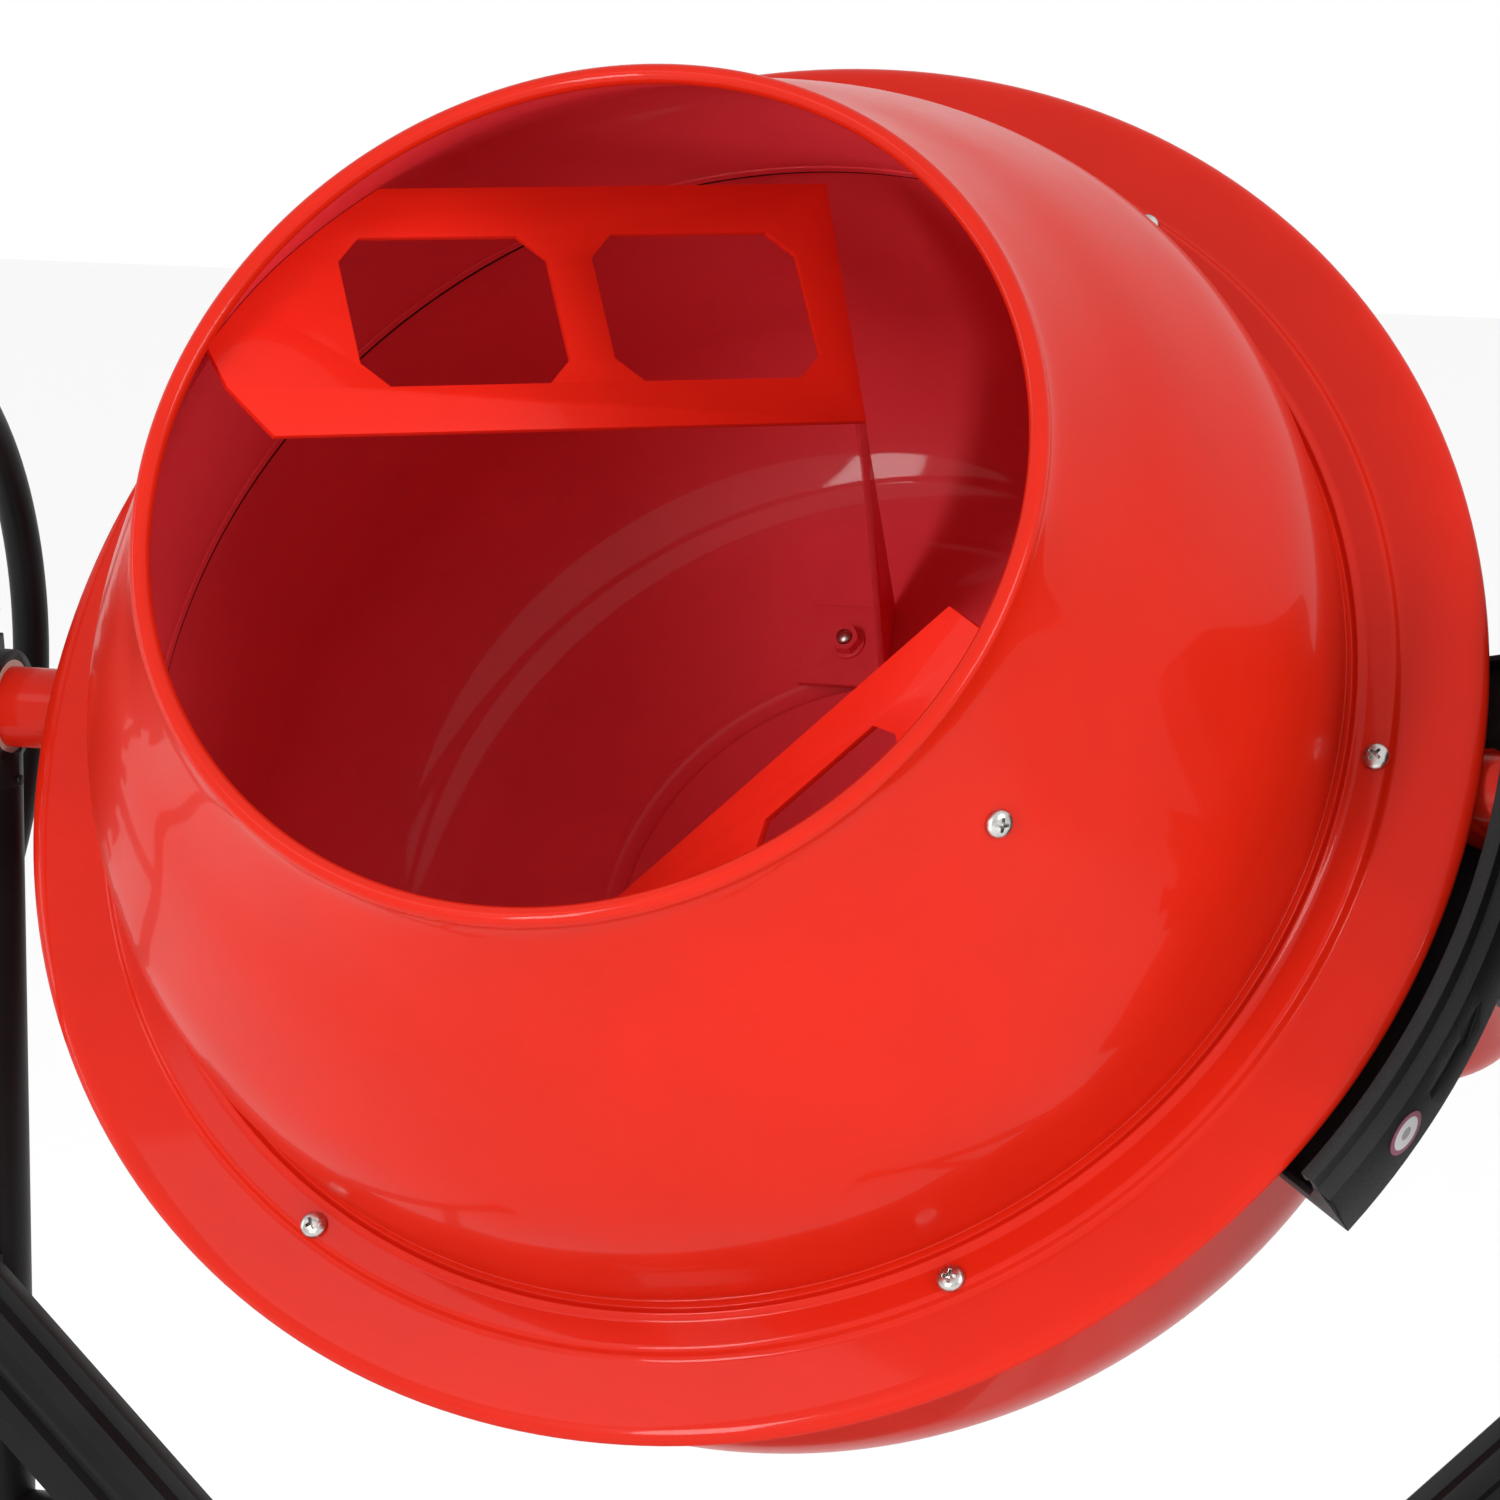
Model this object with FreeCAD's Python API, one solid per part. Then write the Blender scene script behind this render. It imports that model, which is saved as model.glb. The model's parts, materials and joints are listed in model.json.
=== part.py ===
import FreeCAD, Part
import math
import os

# Concrete mixer, tilting drum type. Millimetres, +Z up, ground at Z = 0.
# X is the tilt axis of the drum (handwheel at -X, motor at +X); the drum mouth
# faces -Y. Drum pieces are made upright on their own axis, with the flange
# plane at zero, then tipped into place by tip().

# ---- overall sizes -------------------------------------------------------
PIVOT_HEIGHT = 880.0      # tilt axis above the ground
DRUM_RISE = 34.0          # drum axis above the horizontal, degrees
MOUTH_R = 195.0           # clear radius of the mouth
MOUTH_RISE = 249.2        # mouth above the flange plane
BOWL_R = 291.0            # outside radius of the lower bowl
BOWL_DEPTH = 236.0        # bowl below the flange plane
BOWL_FILLET = 90.0        # rounding between bowl wall and bottom
TUBE_R = 19.0             # yoke tube
MAST_R = 21.0             # upright posts
LEG_R = 16.0              # leg and cross tubes
LEG_REACH = 320.0         # feet ahead of the tilt axis
WHEEL_R = 100.0           # transport wheels

# ---- sheet, clearances and shared fits -----------------------------------
SHEET = 1.6               # drum sheet
PADDLE_T = 3.0            # paddle plate
RUN_FIT = 0.05            # radial running fit, shaft in bush
LOOSE = 0.3               # between moving pieces that pass close by
AIR = 3.0                 # free space kept around turning parts

# ---- drum ----------------------------------------------------------------
WALL_R = BOWL_R - 9.0                 # cone wall just above the seam
SEAM_R = BOWL_R + 6.5                 # seam screw circle
GEAR_IN = BOWL_R + 1.5                # gear ring bore
TOOTH_IN = BOWL_R + 13.0              # inner end of the teeth
GEAR_OUT = BOWL_R + 30.0              # gear ring outside
FLANGE_R = GEAR_OUT + 21.5            # outside of the drum flange
BEAD_R = 4.5                          # rolled bead of the mouth
RING_TOP = 7.0                        # seam ring above the flange plane
BOWL_FLANGE_TOP = RING_TOP - SHEET
GEAR_TOP = BOWL_FLANGE_TOP - SHEET
SEAM_COUNT = 6
PADDLE_SCREW_ANGLE = 148.0

# ---- drive ---------------------------------------------------------------
RING_TEETH = 168
PINION_TEETH = 11
MESH_R = 0.5 * (TOOTH_IN + GEAR_OUT) - 0.5
PINION_R = MESH_R * PINION_TEETH / RING_TEETH
ADDENDUM = 2.9
PIVOT_DROP = PINION_R + 7.6           # tilt axis below the flange plane
GEAR_UNDER = PINION_R + 4.0           # under face of the gear ring above the tilt axis
TOOTH_SHARE = 0.40                    # of the pitch taken by one tooth
FLANK = math.tan(math.radians(20.0))
SHAFT_R = 8.5
LARGE_PULLEY_R = 98.0
SMALL_PULLEY_R = 14.7
BELT_T = 3.0
MOTOR_DROP = 190.0                    # motor shaft below the tilt axis

# ---- yoke ----------------------------------------------------------------
ARM_X = GEAR_OUT + 1.5 * AIR + TUBE_R   # arm centre at the tilt axis
YOKE_DROP = PIVOT_DROP - 28.0 + BOWL_DEPTH + 78.0   # beam centre below the tilt axis
BEAM_X = ARM_X - 66.0                 # corner of the beam
YOKE_BEND = 76.0
TUBE_WALL = 2.5
SPINDLE_R = 12.5
GUARD_R = FLANGE_R + 24.5             # outside of the gear guard
GUARD_FROM = -33.5
GUARD_TO = 12.0

# ---- stand ---------------------------------------------------------------
MAST_X = GUARD_R + MAST_R + 2.0
HEAD_HALF = 18.0                      # half length of the tilt bearing
HEAD_R = 27.0
SOCKET_DROP = 38.0                    # socket end below the tilt axis
CROSS_DROP = 398.0                    # upper cross tube below the tilt axis
APEX_Z = PIVOT_HEIGHT - 430.0         # leg apex
AXLE_R = 10.0
AXLE_Y = 300.0
TIE_Z = 185.0
TIE_R = 12.7
BASE_Y = -3.0
STRUT_W = 55.0
STRUT_Y = -38.0                       # back of the strut web
STRUT_MEET = 672.0                    # struts' centre lines meet this far down
HOUSE_X = MAST_X + MAST_R + AIR       # inboard wall of the motor housing
HOUSE_SPLIT = HOUSE_X + 58.0
HOUSE_END = HOUSE_X + 163.0
HOUSE_TOP = 125.0
HOUSE_BOTTOM = -300.0
HOUSE_HALF = 116.0
DISC_R = 95.0
DISC_X = -(MAST_X + 29.0)
WHEEL_RIM_X = -(MAST_X + 50.0)
HAND_R = 170.0

VEC = FreeCAD.Vector
ORIGIN = VEC(0, 0, 0)
UP = VEC(0, 0, 1)
ALONG_X = VEC(1, 0, 0)
ALONG_Y = VEC(0, 1, 0)


# ---- small makers --------------------------------------------------------
def cyl(radius, base, direction, length):
    return Part.makeCylinder(radius, length, base, direction)


def tube(radius, bore, base, direction, length):
    return cyl(radius, base, direction, length).cut(cyl(bore, base, direction, length))


def block(x0, x1, y0, y1, z0, z1):
    return Part.makeBox(x1 - x0, y1 - y0, z1 - z0, VEC(x0, y0, z0))


def fuse(shapes):
    result = shapes[0]
    for shape in shapes[1:]:
        result = result.fuse(shape)
    return result.removeSplitter()


def turned(points, angle=360.0, start=0.0):
    # solid of revolution about Z from (radius, height) points
    wire = Part.makePolygon([VEC(r, 0, z) for r, z in points + points[:1]])
    solid = Part.Face(wire).revolve(ORIGIN, UP, angle)
    solid.rotate(ORIGIN, UP, start)
    return solid


def wedge_solid(low, high):
    # closed solid between two four-cornered outlines
    faces = [low, high]
    for i in range(4):
        j = (i + 1) % 4
        faces.append([low[i], low[j], high[j], high[i]])
    made = [Part.Face(Part.makePolygon(f + f[:1])) for f in faces]
    return Part.makeSolid(Part.makeShell(made))


def mirrored_x(shape):
    return shape.mirror(ORIGIN, ALONG_X)


def tip(shape, lift=0.0):
    # from the drum's own upright frame into place; lift raises it first
    out = shape.copy()
    out.translate(VEC(0, 0, lift))
    out.rotate(ORIGIN, ALONG_X, 90.0 - DRUM_RISE)
    out.translate(VEC(0, 0, PIVOT_HEIGHT))
    return out


def aim(shape, base, direction):
    # turn a piece made along +Z onto a direction and move it to its base
    out = shape.copy()
    turn = FreeCAD.Rotation(UP, direction)
    out.Placement = FreeCAD.Placement(base, turn)
    return out


def spread(shape, count, step=None):
    pitch = step if step else 360.0 / count
    out = []
    for i in range(count):
        copy = shape.copy()
        copy.rotate(ORIGIN, UP, i * pitch)
        out.append(copy)
    return out


def hexagon(across_flats, height):
    radius = across_flats / math.sqrt(3.0)
    pts = []
    for i in range(7):
        a = math.radians(60.0 * i)
        pts.append(VEC(radius * math.cos(a), radius * math.sin(a), 0))
    return Part.Face(Part.makePolygon(pts)).extrude(VEC(0, 0, height))


def pan_screw(shank, length, head_r, head_h):
    # pan head with cross recess; the head's seat is at zero, shank below
    head = cyl(head_r, ORIGIN, UP, head_h)
    edge = [e for e in head.Edges if abs(e.BoundBox.ZMin - head_h) < 1e-6
            and abs(e.BoundBox.ZMax - head_h) < 1e-6]
    head = head.makeFillet(0.6 * head_h, edge)
    slot = 0.16 * head_r
    for turn in (0, 90):
        arm = block(-0.55 * head_r, 0.55 * head_r, -slot, slot, 0.45 * head_h, head_h + 1)
        arm.rotate(ORIGIN, UP, turn)
        head = head.cut(arm)
    return head.fuse(cyl(shank, VEC(0, 0, -length), UP, length)).removeSplitter()


def hex_bolt(shank, length, flats, head_h):
    head = hexagon(flats, head_h).common(cyl(0.5 * flats * 1.08, ORIGIN, UP, head_h))
    return head.fuse(cyl(shank, VEC(0, 0, -length), UP, length)).removeSplitter()


def flange_nut(bore, flats, height, skirt_r):
    body = hexagon(flats, height).fuse(cyl(skirt_r, ORIGIN, UP, 0.25 * height))
    return body.cut(cyl(bore, VEC(0, 0, -1), UP, height + 2)).removeSplitter()


def save(name, shapes):
    solids = []
    for shape in shapes if isinstance(shapes, list) else [shapes]:
        solids += shape.Solids
    out = solids[0] if len(solids) == 1 else Part.makeCompound(solids)
    out.exportStep("parts/" + name + ".step")


# ---- drum shells ---------------------------------------------------------
def dome_points():
    # outside of the upper cone, as (radius, height) from mouth to seam
    base = [(0.0937, 243.5), (0.0983, 238.0), (0.132, 229.0), (0.224, 212.0), (0.362, 190.0),
            (0.523, 168.0), (0.678, 145.0), (0.822, 122.0), (0.931, 103.0), (1.000, 85.0),
            (1.029, 66.0), (1.025, 45.0), (1.009, 25.0), (1.000, 13.0)]
    scale = MOUTH_RISE / 249.2
    span = WALL_R - MOUTH_R
    pts = [(MOUTH_R + k * span, 13.0 + (s - 13.0) * scale) for k, s in base]
    return pts


def offset_inward(points, amount):
    out = []
    for i, (r, s) in enumerate(points):
        r0, s0 = points[max(i - 1, 0)]
        r1, s1 = points[min(i + 1, len(points) - 1)]
        size = math.hypot(r1 - r0, s1 - s0)
        out.append((r + amount * (s1 - s0) / size, s - amount * (r1 - r0) / size))
    return out


def spline_edge(points):
    curve = Part.BSplineCurve()
    curve.interpolate([VEC(r, 0, s) for r, s in points])
    return curve.toShape()


def path_edges(points):
    return [Part.makeLine(VEC(a[0], 0, a[1]), VEC(b[0], 0, b[1]))
            for a, b in zip(points[:-1], points[1:])]


def cone_shell():
    outer = dome_points()
    inner = offset_inward(outer, SHEET)
    w, f, t = WALL_R, FLANGE_R, RING_TOP
    low_out = [outer[-1], (w, t + 2.2), (w + 1.2, t + 0.6), (w + 2.6, t + 1.2), (w + 4.2, t + 2.4),
               (w + 6.5, t + 0.6), (w + 7.5, t), (w + 19.5, t), (w + 21.0, t - 1.0),
               (w + 22.6, 2.2), (w + 24.0, 1.6), (f - 8.5, 0.4)]
    low_in = [(f - 8.5, 0.4 - SHEET), (w + 23.4, 0.0), (w + 21.0, 0.8), (w + 19.6, t - 2.0),
              (w + 19.0, t - SHEET), (w + 7.0, t - SHEET), (w + 4.0, t + 0.6), (w + 2.5, t - 0.6),
              (w + 0.6, t - 1.1), (w - SHEET, t + 1.5), inner[-1]]
    edges = [spline_edge(outer)] + path_edges(low_out)
    roll_out = Part.Arc(VEC(f - 8.5, 0, 0.4), VEC(f - 2.0, 0, -1.5), VEC(f, 0, -5.5)).toShape()
    roll_in = Part.Arc(VEC(f - SHEET, 0, -5.5), VEC(f - 3.3, 0, -2.6),
                       VEC(f - 8.5, 0, 0.4 - SHEET)).toShape()
    edges += [roll_out] + path_edges([(f, -5.5), (f - SHEET, -5.5)]) + [roll_in]
    edges += path_edges(low_in) + [spline_edge(inner)] + path_edges([inner[0], outer[0]])
    wire = Part.Wire(Part.__sortEdges__(edges))
    shell = Part.Face(wire).revolve(ORIGIN, UP, 360.0)
    bead = Part.makeTorus(MOUTH_R + BEAD_R, BEAD_R, VEC(0, 0, MOUTH_RISE - BEAD_R), UP)
    shell = shell.fuse(bead)
    for hole in seam_holes() + paddle_screw_holes():
        shell = shell.cut(hole)
    return shell


def bowl_shell():
    r, d, fil, t = BOWL_R, BOWL_DEPTH, BOWL_FILLET, SHEET
    s = math.sqrt(0.5)
    outer_arc = Part.Arc(VEC(r, 0, fil - d), VEC(r - fil + fil * s, 0, fil - d - fil * s),
                         VEC(r - fil, 0, -d)).toShape()
    g = fil - t
    inner_arc = Part.Arc(VEC(r - fil, 0, t - d), VEC(r - fil + g * s, 0, fil - d - g * s),
                         VEC(r - t, 0, fil - d)).toShape()
    ring = 136.0 / 291.0 * BOWL_R
    bottom_out = [(r - fil, -d), (ring + 7.6, -d), (ring + 4.6, -3 - d), (ring - 4.6, -3 - d),
                  (ring - 7.6, -d), (0, -d)]
    bottom_in = [(0, t - d), (ring - 7, t - d), (ring - 4, t - 3 - d), (ring + 4, t - 3 - d),
                 (ring + 7, t - d), (r - fil, t - d)]
    top, low = BOWL_FLANGE_TOP, BOWL_FLANGE_TOP - t
    rim = r + 9.8
    edges = path_edges([(r - t, fil - d), (r - t, top), (rim, top), (rim, low),
                        (r + 0.8, low), (r, low - 0.8), (r, fil - d)])
    edges += [outer_arc] + path_edges(bottom_out) + path_edges([(0, -d), (0, t - d)])
    edges += path_edges(bottom_in) + [inner_arc]
    wire = Part.Wire(Part.__sortEdges__(edges))
    shell = Part.Face(wire).revolve(ORIGIN, UP, 360.0)
    for hole in seam_holes() + foot_holes() + hub_holes():
        shell = shell.cut(hole)
    return shell


def seam_holes():
    hole = cyl(3.0, VEC(SEAM_R, 0, -20), UP, 40)
    return spread(hole, SEAM_COUNT)


def paddle_screw_frame():
    # seat of the cone screw on the dome and the outward normal there
    outer = dome_points()
    base, nxt, prev = outer[4], outer[5], outer[3]
    dr, ds = nxt[0] - prev[0], nxt[1] - prev[1]
    size = math.hypot(dr, ds)
    a = math.radians(PADDLE_SCREW_ANGLE)
    out_r, out_s = -ds / size, dr / size
    normal = VEC(out_r * math.cos(a), out_r * math.sin(a), out_s)
    seat = VEC(base[0] * math.cos(a), base[0] * math.sin(a), base[1])
    return seat, normal


def paddle_screw_holes():
    seat, normal = paddle_screw_frame()
    return spread(cyl(3.0, seat - normal * 12, normal, 24), 2)


# ---- gear ring -----------------------------------------------------------
def ring_tooth():
    rows = []
    for radius in (TOOTH_IN, GEAR_OUT - 0.5):
        f = radius / MESH_R
        half = 0.5 * TOOTH_SHARE * 2 * math.pi * MESH_R / RING_TEETH
        tip_z = (PINION_R - ADDENDUM) * f
        root_z = GEAR_UNDER + 0.4
        tip_w = (half - ADDENDUM * FLANK) * f
        root_w = half * f + (root_z - PINION_R * f) * FLANK
        rows.append([VEC(radius, -tip_w, tip_z), VEC(radius, tip_w, tip_z),
                     VEC(radius, root_w, root_z), VEC(radius, -root_w, root_z)])
    return wedge_solid(rows[0], rows[1])


def gear_segment():
    # third of the ring: L-shaped rim held by two seam screws, teeth below
    gap = 0.06
    under = GEAR_UNDER
    top = PIVOT_DROP + GEAR_TOP
    low_top = PIVOT_DROP - 1.6
    step = BOWL_R + 10.0
    body = turned([(GEAR_IN, under), (GEAR_OUT, under), (GEAR_OUT, low_top), (step, low_top),
                   (step, top), (GEAR_IN + 0.6, top), (GEAR_IN, top - 0.6)],
                  120.0 - gap, 30.0 + 0.5 * gap)
    pitch = 360.0 / RING_TEETH
    first = ring_tooth()
    teeth = []
    for i in range(RING_TEETH // 3):
        tooth = first.copy()
        tooth.rotate(ORIGIN, UP, 30.0 + (i + 0.5) * pitch)
        teeth.append(tooth)
    body = body.multiFuse(teeth)
    for hole in seam_holes():
        drop = hole.copy()
        drop.translate(VEC(0, 0, PIVOT_DROP))
        body = body.cut(drop)
    return body


def make_gear():
    segment = gear_segment()
    for i, piece in enumerate(spread(segment, 3)):
        save("ring_gear_segment_%d" % (i + 1), tip(piece))


# ---- paddles -------------------------------------------------------------
def in_drum(x, y, s):
    # paddle corners follow the drum when its sizes change
    k = BOWL_R / 291.0
    h = MOUTH_RISE / 249.2 if s > 0 else BOWL_DEPTH / 236.0
    return VEC(x * k, y * k, s * h)


def paddle_frame():
    # outer right corner of the plate and its two edge directions
    k = BOWL_R / 291.0
    h = MOUTH_RISE / 249.2
    corner = in_drum(7.6, 251.0, 51.6)
    p_axis = VEC(0.7287 * k, 0.3573 * k, -0.5842 * h)
    q_axis = VEC(0.3778 * k, -0.9213 * k, -0.0923 * h)
    return corner, p_axis, q_axis


def drum_inside(gap):
    # the room inside both shells, kept a little away from the sheet
    outer = dome_points()
    inner = offset_inward(outer, SHEET + gap)
    r, d, fil = BOWL_R - SHEET - gap, BOWL_DEPTH - SHEET, BOWL_FILLET
    low = [inner[-1], (WALL_R - SHEET - gap, -1.0), (r, -2.0), (r, fil - d)]
    curve = [(r - fil * (1 - math.cos(math.radians(a))), fil - d - fil * math.sin(math.radians(a)))
             for a in range(6, 91, 6)]
    edges = [spline_edge(inner)] + path_edges(low + curve + [(0, -d), (0, inner[0][1]), inner[0]])
    return Part.Face(Part.Wire(Part.__sortEdges__(edges))).revolve(ORIGIN, UP, 360.0)


def plate_in_frame(points, corner, p_axis, q_axis, thickness, sink=0.0):
    normal = q_axis.cross(p_axis)
    normal.normalize()
    base = corner - normal * sink
    wire = Part.makePolygon([base + p_axis * p + q_axis * q for p, q in points + points[:1]])
    return Part.Face(wire).extrude(normal * (-thickness))


def paddle_window(p0, p1, q0, q1, c):
    return [(p0 + c, q0), (p1 - c, q0), (p1, q0 + c), (p1, q1 - c), (p1 - c, q1),
            (p0 + c, q1), (p0, q1 - c), (p0, q0 + c)]


def make_paddle():
    corner, p_axis, q_axis = paddle_frame()
    fold = (-9.6, 123.4)
    outline = [(0, 0), fold, (-294.3, fold[1]), (-311.4, 98.6), (-318, 74), (-233, 0)]
    body = plate_in_frame(outline, corner, p_axis, q_axis, PADDLE_T)
    for p0, p1 in ((-247, -146.6), (-125, -24)):
        window = paddle_window(p0, p1, 25, 100.4, 12)
        body = body.cut(plate_in_frame(window, corner, p_axis, q_axis, PADDLE_T + 2, -1))
    # arm: folded down from the plate's right-hand edge to the bowl bottom
    floor = SHEET - BOWL_DEPTH
    top_a, top_b = corner, corner + p_axis * fold[0] + q_axis * fold[1]
    low_a = VEC(in_drum(-20, 168, 0).x, in_drum(-20, 168, 0).y, floor)
    low_b = VEC(in_drum(-18, 128, 0).x, in_drum(-18, 128, 0).y, floor)
    top_side = (low_a - top_a).cross(top_b - top_a)
    low_side = (low_a - top_a).cross(low_b - low_a)
    top_side.normalize()
    low_side.normalize()
    high = [top_a, top_b, top_b + top_side * PADDLE_T, top_a + top_side * PADDLE_T]
    low = [low_a, low_b, low_b + low_side * PADDLE_T, low_a + low_side * PADDLE_T]
    arm = Part.makeLoft([Part.makePolygon(high + high[:1]), Part.makePolygon(low + low[:1])],
                        True, True)
    foot = block(in_drum(-62, 0, 0).x, low_a.x, low_b.y - 2, low_a.y, floor, floor + PADDLE_T)
    # tab folded down from the plate to lie against the cone wall under the cone screw
    seat, normal = paddle_screw_frame()
    inner = seat - normal * (SHEET + 0.5)
    side = UP.cross(normal)
    side.normalize()
    along = normal.cross(side)
    tab = Part.makeBox(28, 56, PADDLE_T, VEC(-14, -16, -PADDLE_T))
    matrix = FreeCAD.Matrix(side.x, along.x, normal.x, inner.x, side.y, along.y, normal.y, inner.y,
                            side.z, along.z, normal.z, inner.z, 0, 0, 0, 1)
    tab = tab.transformGeometry(matrix)
    under = [(60, -200), (60, 300), (-500, 300), (-500, -200)]
    keep = plate_in_frame(under, corner, p_axis, q_axis, 300, 0.5 * PADDLE_T)
    tab = tab.common(keep)
    body = body.fuse(arm).fuse(foot).fuse(tab).common(drum_inside(0.4)).removeSplitter()
    body = body.cut(cyl(3.1, seat - normal * 14, normal, 28))
    spot = foot_spot()
    body = body.cut(cyl(4.1, VEC(spot.x, spot.y, floor - 2), UP, 10))
    return body


def foot_spot():
    return in_drum(-40.0, 148.0, 0.0)


def foot_holes():
    spot = foot_spot()
    return spread(cyl(4.0, VEC(spot.x, spot.y, -BOWL_DEPTH - 10), UP, 20), 2)


def make_paddles():
    one = make_paddle()
    two = one.copy()
    two.rotate(ORIGIN, UP, 180.0)
    save("paddle_upper", tip(one, PIVOT_DROP))
    save("paddle_lower", tip(two, PIVOT_DROP))


# ---- drum fasteners ------------------------------------------------------
def make_drum_fasteners():
    screws = []
    nuts = []
    seam = pan_screw(3.0, RING_TOP - GEAR_UNDER + PIVOT_DROP + 6.5, 6.3, 3.9)
    seam.translate(VEC(SEAM_R, 0, RING_TOP))
    screws += spread(seam, SEAM_COUNT)
    nut = flange_nut(3.0, 9.6, 5.0, 5.7)
    seam_nut = nut.copy()
    seam_nut.rotate(ORIGIN, ALONG_X, 180.0)
    seam_nut.translate(VEC(SEAM_R, 0, GEAR_UNDER - PIVOT_DROP))
    nuts += spread(seam_nut, SEAM_COUNT)
    seat, normal = paddle_screw_frame()
    cone_screw = aim(pan_screw(3.0, 14.0, 6.3, 3.9), seat + normal * 0.1, normal)
    screws += spread(cone_screw, 2)
    cone_nut = aim(nut, seat - normal * (SHEET + 0.5 + PADDLE_T), normal * -1)
    nuts += spread(cone_nut, 2)
    save("drum_pan_screws", [tip(s, PIVOT_DROP) for s in screws])
    return nuts


def hub_holes():
    hole = cyl(4.0, VEC(58.0, 0, -BOWL_DEPTH - 30), UP, 60)
    hole.rotate(ORIGIN, UP, 45.0)
    return spread(hole, 4)


def make_hub(seam_nuts):
    d = BOWL_DEPTH
    disc = turned([(0, -d), (112, -d), (112, -d - 4), (0, -d - 4)])
    for hole in hub_holes():
        disc = disc.cut(hole)
    save("drum_base_plate", tip(disc, PIVOT_DROP))
    low = -d - 54.0
    hub = turned([(26.0, -d - 4), (76, -d - 4), (76, -d - 13), (47, -d - 13), (38, -d - 18),
                  (34, low), (22, low), (22, low + 5), (26.0, low + 5)])
    for hole in hub_holes():
        hub = hub.cut(hole)
    save("drum_hub", tip(hub, PIVOT_DROP))
    bearings = []
    for top in (low + 5 + 15, low + 5 + 15 + 17):
        race = turned([(SPINDLE_R + RUN_FIT, top), (26.0, top), (26.0, top - 15),
                       (SPINDLE_R + RUN_FIT, top - 15)])
        for face in (top - 1.2, top - 15):
            race = race.cut(turned([(17.0, face), (21.5, face), (21.5, face + 1.2),
                                    (17.0, face + 1.2)]))
        bearings.append(tip(race, PIVOT_DROP))
    save("hub_bearings", bearings)
    bolt = hex_bolt(4.0, 22.0, 13.0, 5.3)
    bolt.translate(VEC(58.0, 0, SHEET - d))
    bolt.rotate(ORIGIN, UP, 45.0)
    bolts = spread(bolt, 4)
    nut = flange_nut(4.0, 12.6, 8.0, 8.4)
    down = nut.copy()
    down.rotate(ORIGIN, ALONG_X, 180.0)
    down.translate(VEC(58.0, 0, -d - 13))
    down.rotate(ORIGIN, UP, 45.0)
    hub_nuts = spread(down, 4)
    spot = foot_spot()
    foot_bolt = hex_bolt(4.0, 16.0, 13.0, 5.3)
    foot_bolt.rotate(ORIGIN, ALONG_X, 180.0)
    foot_bolt.translate(VEC(spot.x, spot.y, -d))
    foot_nut = nut.copy()
    foot_nut.translate(VEC(spot.x, spot.y, SHEET + PADDLE_T - d))
    save("drum_hex_bolts", [tip(s, PIVOT_DROP) for s in bolts + spread(foot_bolt, 2)])
    nuts = seam_nuts + hub_nuts + spread(foot_nut, 2)
    save("drum_nuts", [tip(s, PIVOT_DROP) for s in nuts])


# ---- yoke ----------------------------------------------------------------
def yoke_path():
    arm_dir = VEC(ARM_X - BEAM_X, 0, YOKE_DROP)
    arm_dir.normalize()
    corner = VEC(BEAM_X, 0, -YOKE_DROP)
    turn = math.acos(arm_dir.dot(ALONG_X))
    tangent = YOKE_BEND * math.tan(0.5 * turn)
    on_arm = corner + arm_dir * tangent
    on_beam = corner - ALONG_X * tangent
    mid_dir = arm_dir - ALONG_X
    mid_dir.normalize()
    mid = corner + mid_dir * (YOKE_BEND / math.cos(0.5 * turn) - YOKE_BEND)
    top = VEC(ARM_X, 0, 0) + arm_dir * 40
    return arm_dir, on_arm, mid, on_beam, top


def swept_yoke(radius):
    arm_dir, on_arm, mid, on_beam, top = yoke_path()

    def flip(v):
        return VEC(-v.x, v.y, v.z)

    edges = [Part.makeLine(top, on_arm), Part.Arc(on_arm, mid, on_beam).toShape(),
             Part.makeLine(on_beam, flip(on_beam)),
             Part.Arc(flip(on_beam), flip(mid), flip(on_arm)).toShape(),
             Part.makeLine(flip(on_arm), flip(top))]
    path = Part.Wire(edges)
    ring = Part.Wire(Part.makeCircle(radius, top, arm_dir))
    return path.makePipeShell([ring], True, False)


def mitre_side(sign):
    # half space on one side of the mitre between arm and trunnion
    normal = ALONG_X + yoke_path()[0]
    normal.normalize()
    box = Part.makeBox(600, 600, 600, VEC(-300, -300, 0))
    return aim(box, VEC(ARM_X, 0, 0), normal * sign)


def yoke_solid(radius):
    # U-shaped tube with mitred corners and a trunnion at each end
    outboard = mitre_side(1)
    inboard = mitre_side(-1)
    start = ARM_X - 60
    right = cyl(radius, VEC(start, 0, 0), ALONG_X, MAST_X + HEAD_HALF + 2 - start).cut(inboard)
    left = cyl(radius, VEC(start, 0, 0), ALONG_X, 10 - WHEEL_RIM_X - start).cut(inboard)
    arms = swept_yoke(radius).cut(outboard).cut(mirrored_x(outboard))
    return arms.fuse(right).fuse(mirrored_x(left)).removeSplitter()


def make_yoke():
    frame = yoke_solid(TUBE_R).cut(yoke_solid(TUBE_R - TUBE_WALL))
    ends = cyl(TUBE_R - TUBE_WALL, VEC(MAST_X, 0, 0), ALONG_X, 60)
    frame = frame.cut(ends).cut(mirrored_x(ends))
    frame = frame.cut(cyl(SHAFT_R + 1.0, VEC(ARM_X - 60, 0, 0), ALONG_X, 80))
    z = -YOKE_DROP
    beam = cyl(TUBE_R, VEC(-60, 0, z), ALONG_X, 120)
    frame = frame.fuse(block(-40, 40, -25, 25, z + 8, z + TUBE_R + 3).cut(beam))
    frame = frame.fuse(block(-32, 32, -22, 22, z - TUBE_R - 3, z - 8).cut(beam))
    frame = frame.cut(cyl(SPINDLE_R, VEC(0, 0, z - 40), UP, 80))
    save("yoke_frame", tip(frame))


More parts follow.
